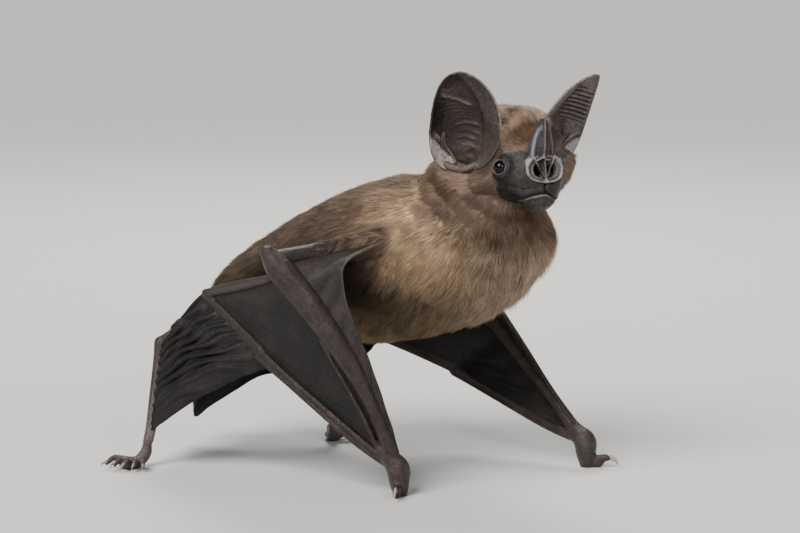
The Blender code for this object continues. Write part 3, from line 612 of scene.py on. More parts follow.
def front_membrane(side):
    """The skin from the shoulder to the wrist, ahead of the bent elbow, with a rolled free edge."""
    shares, depths = np.array(FRONT_EDGE).T
    inner = np.vstack((side.elbow[None, :], forearm_line(side, shares)))
    outer = np.vstack(((side.shoulder + (side.out * 2.6, 0.0, 0.6))[None, :],
                       forearm_line(side, shares, -depths, -depths)))
    grid = ruled(inner, outer, *FRONT_GRID)
    u, v = uv_of(*FRONT_GRID)
    crease = 0.16 * np.sin(2 * np.pi * (9.0 * u + 1.2 * v)) * np.sin(np.pi * v)
    return sheet(lifted(grid, crease),
                 WEB_THICKNESS + 1.2 * np.exp(-v / 0.08) + 0.35 * bell(v - 0.98, 0.03))


def hand_membrane(side):
    """The taut panel between the forearm and the fingers, with slack creases across it."""
    bone = forearm_line(side, (0.06, 0.35, 0.65, 0.93))
    grid = ruled(bone, finger_line(side, 1.0, 0.93, (4, 7)), 96, 48, sag=(side.out * 0.8, 0.0, 0.0))
    u, v = uv_of(96, 48)
    crease = 0.10 * np.sin(2 * np.pi * (7.0 * u + 2.3 * v + 0.3 * np.sin(9.0 * v)))
    return web(lifted(grid, crease * np.sin(np.pi * v)), root=0.35)


def leg_membrane(side):
    """The loose skin from the fingers to the shin.

    Its folds run from finger to leg and draw together towards the knee; each is a sine of the
    share down the panel, stretched by how near the leg is and shifted by a slower sine."""
    rows, columns = 130, 70
    fingers = finger_line(side, *LOOSE_FROM[side.name], (7, 2))
    leg = [side.knee, side.ankle + (side.knee - side.ankle) * 0.08]
    grid = ruled(fingers, leg, rows, columns, sag=(side.out * 2.0, 0.0, 1.5))
    u, v = uv_of(rows, columns)
    grid = grid + np.array((0.0, 0.0, 2.2)) * (4 * v * (1 - v) * u ** 2)[:, :, None]
    gather = u / (1.0 - 0.35 * v)
    phase = 6.5 * gather + 0.22 * np.sin(7.0 * v + 5.0 * u) + 0.15 * np.sin(17.0 * v + 9.0 * u)
    fold = np.sin(2 * np.pi * phase) + 0.35 * np.sin(4 * np.pi * phase + 1.0)
    fine = 0.2 * np.sin(2 * np.pi * (2.3 * phase + 0.6 * np.sin(6.0 * v)))
    depth = (0.52 * np.sin(np.pi * np.clip(v, 0.02, 0.98)) ** 0.5
             * (1.0 - 0.75 * ramp(0.62, 0.95, u)))
    return web(lifted(grid, depth * (fold + fine)), root=0.3)


def flank_membrane(side):
    """The skin that closes the top, from the flank out to the folded fingers and the knee."""
    rows = smooth(TRUNK_STATIONS, 101)

    def flank_point(share, low):
        row = rows[round(share * 100)]
        return row[:3] + (side.out * row[3] * 0.93, 0.0, -low * row[4])

    outer = [side.roll_end, side.roll_end * 0.5 + side.fingertip * 0.5, side.fingertip,
             side.knee * 0.75 + side.fingertip * 0.25]
    inner = [flank_point(0.42, -0.1), flank_point(0.6, -0.1), flank_point(0.8, 0.0),
             side.knee * 0.7 + side.hip * 0.3]
    grid = ruled(inner, outer, 70, 36, sag=(0.0, 0.0, 0.8))
    u, v = uv_of(70, 36)
    crease = 0.22 * np.sin(2 * np.pi * (3.5 * u + 1.5 * v + 0.3 * np.sin(8.0 * u)))
    return web(lifted(grid, crease * np.sin(np.pi * v)), root=0.8)


def tail_membrane():
    """The skin between the legs, round the tail, its free edge drawn out to a point below."""
    right, left = RIGHT_SIDE, LEFT_SIDE
    top = [right.knee, TAIL_ROOT + (0.0, 3.0, -2.5), left.knee]
    point = np.array((-3.2, 80.0, 6.2))
    edge = [right.knee * 0.45 + right.ankle * 0.55, point + (-4.5, -3.5, 8.5),
            point + (-0.7, -0.3, 2.0), point, point + (1.6, -2.2, 2.0), point + (4.5, -7.0, 5.6),
            point + (9.5, -13.0, 9.8), left.knee * 0.62 + left.ankle * 0.38]
    grid = ruled(top, edge, 90, 40, sag=(0.0, 2.0, 0.0))
    u, v = uv_of(90, 40)
    fan = np.sin(2 * np.pi * (6.0 * u + 0.3 * np.sin(5.0 * v)))
    grid = lifted(grid, 0.3 * fan * np.sin(np.pi * v) ** 0.7)
    return sheet(grid, 0.5 + 0.3 * bell(v - 1.0, 0.05))


# ---------------------------------------------------------------- body, face and head details

MUZZLE_BEND = 1.3                 # how far the muzzle is carried to the right at its end
NOSE_AT = (17.0, -0.75, -4.5)     # middle of the nose plate: ahead, left, up
PLATE_WIDTH = 4.45                # half the nose plate's width
PLATE_SAG = 0.030                 # how fast its sides fall back
LEAF_FOOT = 2.2                   # how far below the head's centre the nose leaf starts
LEAF_LENGTH = 8.2
MOUTH_LINE = ((0.0, -9.55), (1.4, -9.7), (2.9, -9.9), (4.4, -10.4), (5.3, -9.65), (6.7, -8.6),
              (8.5, -7.7))
# The eyes in the finished face, ahead, left and up; the face is carried a little to the right.
EYE_SEAT = {-1: np.array((10.45, -7.65, -3.3)), 1: np.array((8.9, 7.1, -3.3))}
# Of the ears: how far out of each scoop its hollow reaches, the canal's place as shares across
# and up, and the size of the grid of each ear and of each tragus.
SCOOP_DEPTH = {-1: 9.0, 1: 4.0}
CANAL_AT = (0.28, 0.085)
EAR_GRID = (170, 100)
TRAGUS_GRID = (50, 15)
# The remesher's cell on the body and on the limbs.
BODY_CELL = 0.62
LIMB_CELL = 0.30


def ear_frame(side):
    """An ear's base point and the ways up it, across it and out of its scoop.

    The side is -1 for the right ear and 1 for the left one."""
    drop = 1.4 if side > 0 else 0.0
    base = in_head(-1.3, side * 11.1, -2.2 - drop)
    across = turned(HEAD_TURN - side * 36.0, 0.0)[1]
    ahead = unit(AHEAD * (1.0, 1.0, 0.0))
    rise = unit(UPWARD + LEFT * side * np.tan(np.radians(15.5))
                + ahead * np.tan(np.radians(27.5)))
    across = unit(across - rise * (across @ rise))
    return base, rise, across, np.cross(across, rise)


def ear_outline(v):
    """Half the ear's width at shares of its height: an ellipse with its widest part at 0.42."""
    reach_up = np.where(v > 0.42, 0.59, 0.45)
    return EAR_WIDTH / 2 * np.sqrt(np.maximum(1.0 - ((v - 0.42) / reach_up) ** 2, 0.0))


def ear_place(points, side):
    """Where points are by an ear's shape: shares across and up, half its width there, and how
    far out of the scoop."""
    base, rise, across, opening = ear_frame(side)
    place = (points - base) @ np.stack((across, rise, opening)).T
    v = place[:, 1] / EAR_LENGTH
    half = np.maximum(ear_outline(np.clip(v, 0.02, 0.98)), 1.0)
    return place[:, 0] / half, v, half, place[:, 2]


def scoop_cleared(points):
    """Head points that would fill an ear's scoop, moved back behind the scoop's rear wall."""
    for side in (-1, 1):
        m, v, half, out = ear_place(points, side)
        wall = half * (0.52 * m ** 2 - 0.62) - 0.9
        inside = fade(0.92, 1.12, np.where(side * m < 0.0, -0.2, 0.0) + np.abs(m))
        inside = inside * ramp(-0.06, 0.03, v) * fade(0.9, 1.0, v) * (out < SCOOP_DEPTH[side])
        back = np.maximum(out - wall, 0.0) * inside
        points = points - back[:, None] * ear_frame(side)[3]
    return points


def neck_folds(points, step):
    """Sines across the folds of the neck, which lean down towards the throat."""
    across = points @ unit(np.array((0.0, -0.62, 0.78)))
    return np.sin(2 * np.pi * across / step + 1.3 * noise(points, 9.0, 3))


def body_shell():
    """Trunk, neck and head in one, with smoothed meetings and a hollow behind each ear's scoop."""
    trunk, neck = smooth(TRUNK_STATIONS, 90), smooth(NECK_STATIONS, 40)
    head = smooth(HEAD_STATIONS, 60)
    shell = fused([hide(trunk[:, :3], trunk[:, 3:], COAT, 72),
                   hide(neck[:, :3], neck[:, 3:], COAT, 60),
                   hide(in_head(head[:, :1], 0.0, head[:, 1:2]), head[:, 2:],
                        HEAD_COAT + 1.6 * ramp(2.5, 7.0, head[:, 0]), 60, LEFT)], BODY_CELL)
    near_neck = bell(shell[0][:, 2] - 61.0, 9.0) * fade(16.0, 24.0, shell[0][:, 1])
    shell = relaxed(shell, 0.9 * np.maximum(near_neck, 0.12), 90)
    points = shell[0]
    on_neck = bell(points[:, 2] - 62.0, 7.5) * fade(12.0, 20.0, points[:, 1])
    # Low heaps of loose hide on the shoulders and chest.
    heaps = 0.5 * noise(points, 6.0, 5) + 0.22 * noise(points, 2.6, 6)
    lift = (0.07 * neck_folds(points, 3.4) * on_neck
            + 0.35 * heaps * ramp(-30.0, -26.0, -np.abs(points[:, 1])))
    return scoop_cleared(points + normals_of(shell) * lift[:, None]), shell[1], shell[2]


def eye_distance(place):
    """Distance in head coordinates to the nearer eye's middle."""
    return np.minimum(*(np.linalg.norm(place - seat, axis=1) for seat in EYE_SEAT.values()))


def from_midline(place):
    """Sideways distance from the muzzle's own middle line, which bends a little to the right."""
    return place[:, 1] + MUZZLE_BEND * ramp(7.0, 16.0, place[:, 0])


def mouth_height(side):
    """How far up the mouth's line is at each distance from the midline."""
    return np.interp(np.abs(side), *np.array(MOUTH_LINE).T) - 0.24 * np.maximum(side, 0.0)


def lip_split(p):
    """1 on the short upright strip below the nose that the upper lip's groove runs in."""
    ahead, _, up = p.T
    return fade(-7.9, -7.4, up) * ramp(-9.9, -9.4, up) * (ahead > 12)


def head_station(p):
    """How far ahead of the head's centre is the tilted ring of its loft that a place lies on."""
    return p[:, 0] - 0.36 * (p[:, 2] + 1.3)


def bare_face(points, p):
    """1 on the naked muzzle, its sides and round the eyes, 0 under the coat."""
    up = p[:, 2:].ravel()
    start = np.interp(up, (-11.0, -6.5, -3.0), (7.8, 9.7, 9.1))
    ahead = ramp(-0.6, 0.6, head_station(p) - start + 0.4 * noise(points, 1.4, 91))
    below_brow = fade(-0.9, 0.3, up + 0.25 * noise(points, 1.2, 92))
    return np.maximum(ahead * below_brow, bell(eye_distance(p), 2.7))


def face_shell():
    """The bare face and muzzle: a fine loft, then sockets, lips, chin and creases moved in or out.

    The rear is drawn in so that it ends inside the head, and the front lies behind the plate."""
    stations = smooth(HEAD_STATIONS, 900)
    stations = stations[stations[:, 0] > 2.2]
    steps = np.linalg.norm(np.diff(stations[:, [0, 2]], axis=0), axis=1)
    run = np.concatenate(((0.0,), np.cumsum(steps)))
    even = np.linspace(0.0, run[-1], 118)
    along, middle, wide, high = (np.interp(even, run, row) for row in stations.T)
    shrink = 0.93 + 0.07 * ramp(2.4, 5.0, along) - 0.03 * fade(5.0, 10.0, along)
    rings = carried(in_head(along[:, None], 0.0, middle[:, None]), wide * shrink, high * shrink,
                    300, LEFT)
    centre = rings[-1].mean(0)
    inward = np.linspace(0.0, np.pi / 2, 34)[1:-1, None, None]
    cap = centre + (rings[-1] - centre) * np.cos(inward) + AHEAD * 0.3 * np.sin(inward)
    points, quads, triangles = closed_rings(np.concatenate((rings, cap)))
    p = head_place(points)
    ahead, left, up = p.T
    up -= 1.3 * bell(ahead - 14.2, 3.4) * ramp(7.5, 12.0, -up)
    left -= MUZZLE_BEND * ramp(7.0, 16.0, ahead)
    from_plate = np.sqrt(((left - NOSE_AT[1]) / PLATE_WIDTH) ** 2
                         + ((up - NOSE_AT[2]) / 3.0) ** 2)
    ahead[:] = np.minimum(ahead, 14.3 + 3.2 * ramp(0.82, 1.2, from_plate))
    points = from_head(p)
    side = from_midline(p)
    off = np.abs(side)
    eye = eye_distance(p)
    low = up - mouth_height(side)
    lips = ramp(6.8, 9.0, ahead) * (up < -7.0)
    front = ahead > 12
    split = lip_split(p)
    # Sockets, the line of the mouth with its lips, and the groove between nose and lip.
    move = (-0.8 * fade(1.35, 1.75, eye) + 0.05 * bell(eye - 2.2, 0.3)
            - 0.16 * bell(eye - 3.0, 0.6))
    move += lips * (-0.42 * bell(low, 0.22) + 0.22 * bell(low - 0.75, 0.5)
                    + 0.3 * bell(low + 0.6, 0.42) * bell(side, 4.0))
    move -= 0.16 * lips * bell(low - 1.75, 0.2) * ramp(2.6, 4.0, off)
    move -= 0.38 * bell(side, 0.26) * split
    move += 0.24 * bell(off - 0.85, 0.55) * split
    # Warts on the chin, the swollen sides of the muzzle and the dip before each eye.
    for out, height, size in ((0.75, -11.3, 0.55), (1.6, -11.9, 0.45), (0.5, -12.4, 0.45),
                              (2.3, -11.4, 0.4)):
        move += 0.3 * spot(size, off - out, up - height) * front
    move += 0.45 * spot(2.4, ahead - 13.2, off - 5.2, up + 7.2)
    move -= 0.35 * spot(1.7, ahead - 12.0, off - 6.0, up + 3.2)
    crease = bell(ahead - 12.5, 4.0) * (1.0 - bell(eye, 2.4))
    move += crease * (0.10 * noise(points, 1.3, 11) + 0.07 * noise(points, 0.55, 12)
                      + 0.05 * noise(points, 0.28, 13))
    normal = normals_of((points, quads, triangles))
    return scoop_cleared(points + normal * move[:, None]), quads, triangles


def nose_plate():
    """The horseshoe: a disc in polar form, whose height is a sum of rims, strands, pits, a bead."""
    rho = np.concatenate((np.linspace(1.22, 0.8, 26), np.linspace(0.79, 0.01, 50)))[:, None]
    turn = turns(220)[None, :]
    across, lift = np.cos(turn), np.sin(turn)
    tall = np.where(lift > 0, 2.9, 3.0)
    square = 1.0 / (np.abs(across) ** 2.5 + np.abs(lift) ** 2.5) ** (1 / 2.5)
    x = rho * PLATE_WIDTH * across * square
    y = rho * tall * lift * square
    rim = 1.0 - ramp(0.45, 0.8, lift * square) * fade(2.2, 3.4, np.abs(x))
    z = -PLATE_SAG * x ** 2 - 0.75 * fade(0.5, 0.9, rho)
    z += (0.55 * bell(rho - 0.95, 0.045) * rim
          + 0.34 * bell(rho - 0.70, 0.04) * rim * fade(0.8, 1.6, y))
    z -= 1.5 * ramp(1.0, 1.22, rho)
    for out in (-1, 1):
        pit = np.sqrt(((x - out * 1.5 - out * 0.12 * (y + 0.4)) / 0.80) ** 2
                      + ((y + 0.3) / 1.05) ** 2)
        z -= 1.5 * fade(0.55, 1.2, pit)
        z += 0.22 * bell(pit - 1.55, 0.25)
        # A strand from the rim's upper corner down to the middle.
        along = (x - out * 2.7) * -out * 2.35 + (y - 2.8) * -4.5
        along = np.clip(along / (2.35 ** 2 + 4.5 ** 2), 0, 1)
        z += (0.10 - z) * 0.95 * spot(0.19, x - out * 2.7 + out * 2.35 * along,
                                      y - 2.8 + 4.5 * along)
        loop = np.sqrt(((x - out * 2.15) / 0.85) ** 2 + ((y + 0.2) / 1.5) ** 2)
        z += (0.0 - z) * 0.7 * bell(loop - 1.0, 0.17) * ramp(-0.2, 0.4, out * x - 1.9)
        z += 0.35 * spot(0.7, x - out * 3.9, y - 2.0)
    z += (0.25 - z) * 0.9 * bell(x, 0.19) * ramp(-3.0, -2.6, y)
    z += 0.6 * spot(0.36, x, y + 2.85)
    z += 0.04 * np.sin(9.0 * turn + 3.0 * rho) * bell(rho - 0.8, 0.2)
    place = np.stack((NOSE_AT[0] + z, NOSE_AT[1] + x, NOSE_AT[2] + y), axis=2)
    return closed_rings(from_head(place)[:, ::-1])


def nose_leaf():
    """The lancet above the plate: a pointed blade with a ridge down its middle, thick margins."""
    v = uv_of(90, 61)[0]
    u = np.linspace(-1.0, 1.0, 61)[None, :]
    half = np.interp(v, (0.0, 0.12, 0.3, 0.5, 0.7, 0.85, 0.95, 1.0),
                     (2.7, 3.3, 3.3, 2.85, 2.1, 1.3, 0.6, 0.12))
    left = -1.2 + 1.0 * v + half * u
    up = (-LEAF_FOOT + LEAF_LENGTH * v
          - 0.55 * np.sin(np.pi * np.abs(u)) * fade(0.0, 0.25, v))
    ahead = (17.3 - 0.1 * v - 0.5 * ramp(0.0, 0.3, 0.3 - v)
             - 1.15 * np.abs(u) ** 2.2 * (1 - 0.5 * v)
             + 0.42 * bell(u, 0.09) - 0.22 * bell(np.abs(u) - 0.45, 0.2))
    thick = 0.42 + 0.3 * bell(np.abs(u) - 0.95, 0.1) + 0.35 * bell(v, 0.1)
    return sheet(from_head(np.stack((ahead, left, up), axis=2)), thick)


def eye_axes(side):
    """The way an eye looks, and two ways across it."""
    out = unit(np.array((0.36, side * 0.93, 0.10)))
    one = unit(np.cross(UPWARD, out))
    return out, one, np.cross(out, one)


def eyelids(side):
    """A rolled ring of skin round an eye, a little thicker above."""
    turn = turns(72)[:, None]
    roll = turns(14)[None, :]
    out, one, two = eye_axes(side)
    middle = EYE_SEAT[side] + out * 0.5
    size = 0.20 + 0.03 * np.sin(turn) + 0.02 * np.sin(3 * turn + 1.0)
    wide = 1.62 + 0.05 * np.cos(2 * turn) + size * np.cos(roll)
    deep = size * 1.15 * np.sin(roll)
    place = (middle + (wide * np.cos(turn))[:, :, None] * one
             + (wide * 0.96 * np.sin(turn))[:, :, None] * two + deep[:, :, None] * out)
    rows, columns = place.shape[:2]
    quads = grid_quads(rows + 1, columns, closed=True) % (rows * columns)
    return from_head(place.reshape(-1, 3)), quads, NO_TRIANGLES


def ear_points(side):
    """The ear's middle surface: half circles of growing turn set up its height.

    v is the share up the ear and m the share across it, 1 at the front edge."""
    base, rise, across, opening = ear_frame(side)
    rows, columns = EAR_GRID
    v = uv_of(rows, columns)[0] ** 0.9
    u = np.linspace(-1.0, 1.0, columns)[None, :]
    half = ear_outline(v)
    arc = np.radians(88.0 - 38.0 * v)
    sideways = half * np.sin(arc * u) / np.sin(arc)
    m = -side * u
    curl = np.where(m > 0.0, 0.25, 1.0) if side > 0 else 1.0
    forward = half * curl * (1 - np.cos(arc * u)) / np.sin(arc) - 0.6 * half
    inward = EAR_BEND * np.sin(np.pi * v) * -side
    return (base + rise * (v * EAR_LENGTH)[:, :, None] + across * (sideways + inward)[:, :, None]
            + opening * forward[:, :, None]), m + 0.0 * v, v + 0.0 * u, opening


def ear_front_band(m, v):
    """0 in the scoop and 1 on the smooth band that runs up its front edge."""
    return ramp(0.0, 0.14, m - np.interp(v, (0.0, 0.1, 0.28, 0.52, 0.75, 0.9, 1.0),
                                         (0.62, 0.5, 0.36, 0.28, 0.11, -0.15, -0.4)))


def ear_rear_lobe(m, v):
    """Distance in m ahead of the line where the rear lobe's edge folds over, and its reach up."""
    return m + 0.22 + 1.7 * v, fade(0.30, 0.40, v)


def ear_ridges(side, m, v):
    """Cross ridges as bells of v about lines that drop towards the front edge."""
    def ridge(height, drop, width, low, high):
        centre = height - drop * (m + 0.3)
        return (bell(v - centre, width) * ramp(low - 0.08, low + 0.08, m)
                * fade(high - 0.08, high + 0.08, m))
    total = (0.85 if side < 0 else 0.15) * ridge(0.645, 0.20, 0.020, -0.78, 0.08)
    total = total + 0.25 * ridge(0.70, 0.18, 0.02, -0.8, -0.2)
    for height in (0.60, 0.565, 0.53, 0.495, 0.46, 0.43):
        total = total + 0.14 * ridge(height, 0.05, 0.010, -0.25, 0.32)
    for height, size, low, high in ((0.37, 0.34, -0.26, 0.26), (0.292, 0.22, -0.12, 0.30),
                                    (0.225, 0.26, -0.20, 0.24), (0.160, 0.20, -0.08, 0.32)):
        total = total + size * ridge(height - 0.25 * (m - 0.05) ** 2, 0.0, 0.015, low, high)
    fine = np.sin(2 * np.pi * v / 0.043 + 1.5 * m) * ramp(0.44, 0.5, v) * fade(0.76, 0.84, v)
    return total + ((0.36 if side > 0 else 0.07) * fine * fade(-0.35, -0.1, m)
                    * ramp(-1.0, -0.85, m))


def ear_shell(side):
    """A scoop of two walls: cross ridges, a raised front band, a rear lobe folded over, a canal."""
    grid, m, v, opening = ear_points(side)
    normal = grid_normals(grid)
    inner = np.where(np.sum(normal * opening, axis=2).mean() > 0, 1.0, -1.0) * normal
    band = ear_front_band(m, v) * fade(0.72, 1.0, m) * fade(0.78, 0.97, v)
    behind, low = ear_rear_lobe(m, v)
    lobe = fade(-0.12, 0.0, behind) * low * ramp(-1.0, -0.72, m)
    edge = bell(behind, 0.05) * low
    crevice = bell(behind + 0.11, 0.05) * low * ramp(0.05, 0.15, v)
    canal = bell(m - CANAL_AT[0], 0.13) * bell(v - CANAL_AT[1], 0.04)
    flat = grid.reshape(-1, 3)
    bumps = (noise(flat, 0.7, 15) + 0.7 * noise(flat, 0.35, 16)).reshape(v.shape)
    inside = (ear_ridges(side, m, v) + 0.6 * band + lobe * (0.75 + 0.12 * bumps) + 0.75 * edge
              - 0.55 * crevice - 0.6 * canal + 0.05 * bumps
              + 0.35 * bell(v - 0.03, 0.02) * ramp(-0.2, 0.1, m))
    inside = inside - (0.5 * (1.0 - band) * (1.0 - lobe) * ramp(0.1, 0.2, v)
                       * fade(0.75, 0.9, v) * bell(m + 0.1, 0.5))
    rim = bell(1.0 - np.abs(m), 0.025) + bell(1.0 - v, 0.015)
    half = 0.20 - 0.06 * ramp(0.5, 0.9, v) + 0.05 * rim
    walls = [(grid + inner * depth[:, :, None]).reshape(-1, 3)
             for depth in (half + inside, 1.15 * np.minimum(inside, 0.0) - half)]
    points, quads, triangles = sheet(grid, 0.5)
    count = len(points) // 2
    if np.sum((points[:count] - points[count:]) * inner.reshape(-1, 3)) <= 0:
        walls.reverse()
    return np.vstack(walls), quads, triangles


def tragus(side):
    """The pointed flap that stands in front of the ear's canal."""
    base, rise, across, opening = ear_frame(side)
    v = uv_of(*TRAGUS_GRID)[0]
    u = np.linspace(-1.0, 1.0, TRAGUS_GRID[1])[None, :]
    half = np.interp(v, (0.0, 0.2, 0.45, 0.7, 0.9, 1.0), (0.8, 0.75, 0.55, 0.38, 0.22, 0.05))
    out = side * (1.9 + 1.5 * v + 0.9 * np.sin(np.pi * v))
    place = (base + across * (out + half * u)[:, :, None] + rise * (1.0 + 8.0 * v)[:, :, None]
             + opening * (-1.4 + 1.2 * v - 0.55 * (1.0 - u ** 2) * half)[:, :, None])
    return sheet(place, 0.26)


def tragus_tone(points):
    """Dark pinkish brown, paler towards the rear edge and the tip."""
    v = uv_of(*TRAGUS_GRID)[0]
    u = np.linspace(-1.0, 1.0, TRAGUS_GRID[1])[None, :]
    edge = np.tile((np.maximum(ramp(0.7, 0.98, np.abs(u)), ramp(0.9, 1.0, v)) * 0.55).ravel(), 2)
    return mixed(mottled(EAR_PINK, EAR_BROWN, points, 0.5, (0.5, 0.8, 74)), EAR_PALE, 0.75 * edge)


def ear_base(side):
    """The fleshy fold across the foot of the scoop, a tube that sags in the middle."""
    base, rise, across, opening = ear_frame(side)
    return rod(26, 20, *((base + across * place + rise * height + opening * ahead, size,
                          size * 0.85) for place, height, ahead, size in (
                              (-4.4, 1.9, -0.6, 0.55), (-2.2, 0.7, 0.4, 0.9),
                              (0.6, 0.2, 0.9, 1.05), (3.0, 0.9, 0.3, 0.9),
                              (4.8, 2.1, -0.8, 0.5))))


# ---------------------------------------------------------------- eyes and claws

def eye_shell(side):
    """A ball with a slightly raised clear front."""
    fall = np.linspace(0.02, np.pi - 0.02, 48)[:, None]
    turn = turns(64)[None, :]
    size = EYE_RADIUS * (1.0 + 0.05 * bell(fall, 0.7))
    parts = (size * np.cos(fall), size * np.sin(fall) * np.cos(turn),
             size * np.sin(fall) * np.sin(turn))
    place = sum(part[:, :, None] * way for part, way in zip(parts, eye_axes(side)))
    return closed_rings(from_head(place + EYE_SEAT[side]))


def claw(root, way, length, thick, drop, rise=0.0):
    """A hooked horn: an oval carried along a quarter of an ellipse that curves down, to a point."""
    t = np.linspace(0.0, 1.0, 22)[:, None]
    bend = np.radians(82.0) * t
    way = unit(way)
    path = (np.asarray(root, float) + way * length * np.sin(bend) * 0.92
            + UPWARD * (rise * np.sin(np.pi * t * 0.6) - drop * (1.0 - np.cos(bend))))
    size = thick * np.interp(t[:, 0], (0.0, 0.2, 0.6, 0.9, 1.0), (1.0, 1.0, 0.62, 0.25, 0.06))
    return closed_rings(carried(path, size * 0.72, size * 1.1, 14, np.cross(way, UPWARD)))


def claw_shells(side):
    """A claw at each toe's end, and the longer one of the thumb."""
    toes = [toe_line(side, toe)[2:] for toe in range(TOES)]
    thumb = np.array(THUMB_WAY[side.name])
    start = np.array((side.wrist[0], side.wrist[1], 2.4)) + thumb * 5.3
    return [claw(end - direction * 0.4 + (0, 0, 0.3), direction, 1.9, 0.40, max(end[2], 0.6), 0.35)
            for end, direction in toes] + [claw(start, thumb, 2.6, 0.55, 2.0, 0.2)]


# ---------------------------------------------------------------- colours by place

def mixed(a, b, share):
    """One colour where the share is 0, the other where it is 1, a blend between."""
    share = np.asarray(share, float)[:, None]
    return np.asarray(a, float) * (1.0 - share) + np.asarray(b, float) * share


def layered(tone, *coats):
    """A tone with coats of (colour, share) laid over it in turn."""
    for colour, share in coats:
        tone = mixed(tone, colour, share)
    return tone


def mottle(points, share, *waves):
    """A mean share with noises of (strength, size, seed) added to it."""
    for strength, size, seed in waves:
        share = share + strength * noise(points, size, seed)
    return share


def mottled(dark, light, points, *shares):
    """Two colours mixed by a mottle's shares."""
    return mixed(dark, light, mottle(points, *shares))


# Linear colours of the skin; painting darkens every tone of skin, claw and coat by SHADE.
SHADE = 0.84
SLATE = (0.0125, 0.0108, 0.0108)
SLATE_PALE = (0.046, 0.040, 0.0385)
LIP_PINK = (0.24, 0.165, 0.150)
EAR_BROWN = (0.075, 0.058, 0.052)
EAR_PINK = (0.13, 0.075, 0.062)
EAR_PALE = (0.26, 0.22, 0.195)
LIMB_BROWN = (0.022, 0.0148, 0.013)
LIMB_PALE = (0.068, 0.047, 0.041)
WEB_BLACK = (0.0062, 0.0052, 0.0050)
WEB_WORN = (0.022, 0.018, 0.0168)


def face_tone(points):
    """Slate with dark rings round the eyes, a pink lip and a pale chin, and painted shade in the
    mouth's slit and the groove below the nose.
    """
    p = head_place(points)
    ahead, _, up = p.T
    side = from_midline(p)
    eye = eye_distance(p)
    low = up - mouth_height(side)
    front = ramp(9.0, 12.5, ahead)
    return layered(
        mottled(SLATE, SLATE_PALE, points, 0.20, (0.22, 1.6, 21), (0.14, 0.5, 22)),
        ((0.009, 0.008, 0.009), 0.85 * bell(eye - 2.2, 1.5)),
        ((0.085, 0.075, 0.07), 0.35 * bell(eye - 2.0, 0.2)),
        (LIP_PINK, 0.9 * front * bell(low + 0.40, 0.24) * bell(side + 0.3, 2.6)),
        ((0.015, 0.012, 0.012), 0.6 * front * bell(low - 0.8, 0.6) * bell(side, 5.0)),
        ((0.075, 0.052, 0.047), 0.5 * front * bell(low + 1.6, 0.6) * bell(side + 0.6, 2.2)),
        ((0.10, 0.085, 0.08), 0.4 * front * bell(low + 3.2, 0.8) * bell(side, 3.0)),
        # Painted shade, near black, in the mouth's slit.
        ((0.008, 0.005, 0.005),
         0.95 * ramp(7.5, 9.0, ahead) * bell(low, 0.15) * (up < -7)),
        # Painted shade in the groove below the nose.
        ((0.014, 0.01, 0.01), 0.75 * bell(side, 0.22) * lip_split(p)))


def plate_tone(points):
    """Painted shade in the pits, near black deep in the nostrils; pale painted highlights on the
    raised strands, the rim and a spot at each upper corner.
    """
    raised, x, y = (head_place(points) - NOSE_AT).T
    raised = raised + PLATE_SAG * x ** 2
    rho = ((np.abs(x) / PLATE_WIDTH) ** 2.5 + (np.abs(y) / 2.95) ** 2.5) ** 0.4
    band = ramp(0.66, 0.74, rho) * fade(1.02, 1.1, rho) * fade(1.2, 2.2, y)
    return layered(
        (0.012, 0.010, 0.010),
        # Paler as the plate rises out of its pits: painted shade in the hollows.
        ((0.060, 0.052, 0.050), ramp(-0.9, 0.1, raised)),
        ((0.105, 0.092, 0.088), 0.75 * band),
        # Painted highlight on the raised strands and rim.
        ((0.30, 0.25, 0.23),
         0.85 * ramp(-0.08, 0.30, raised) * (1.0 - 0.75 * band * (raised < 0.1))),
        # A painted highlight spot on each upper corner.
        ((0.36, 0.33, 0.33), spot(0.7, np.abs(x) - 3.9, y - 2.0) * 0.7),
        # Painted shade, near black, deep in the nostrils.
        ((0.003, 0.002, 0.002), fade(-1.3, -0.7, raised)))


def leaf_tone(points):
    """Near black, with a bluish painted highlight of the sky down the margin on the bat's right, a
    pale margin on its left, a scalloped pale foot and a pale ridge.
    """
    _, left, up = head_place(points).T
    v = (up + LEAF_FOOT) / LEAF_LENGTH
    x = left + 1.2 - 1.0 * v
    edge = 3.0 * np.interp(v, (0.0, 0.3, 0.5, 0.7, 0.9), (1.0, 0.98, 0.86, 0.62, 0.3))
    scallop = up + LEAF_FOOT + 0.55 * np.sin(np.pi * np.clip(np.abs(x) / 2.7, 0, 1))
    return layered(
        mottled((0.007, 0.006, 0.006), (0.030, 0.026, 0.026), points, 0.5, (0.4, 0.9, 31)),
        # Painted highlight: the sky reflected down the margin on the bat's right.
        ((0.21, 0.22, 0.24), 0.85 * bell(x + edge - 0.55, 0.40) * fade(0.70, 0.88, v)),
        ((0.30, 0.26, 0.24), 0.85 * bell(scallop - 0.1, 0.28)),
        ((0.22, 0.18, 0.155), 0.8 * bell(x, 0.12)),
        ((0.20, 0.17, 0.15), 0.6 * bell(x - 2.9 * (1 - 0.6 * v), 0.2)),
        ((0.085, 0.05, 0.033), 0.5 * bell(x - 1.3, 0.5)))


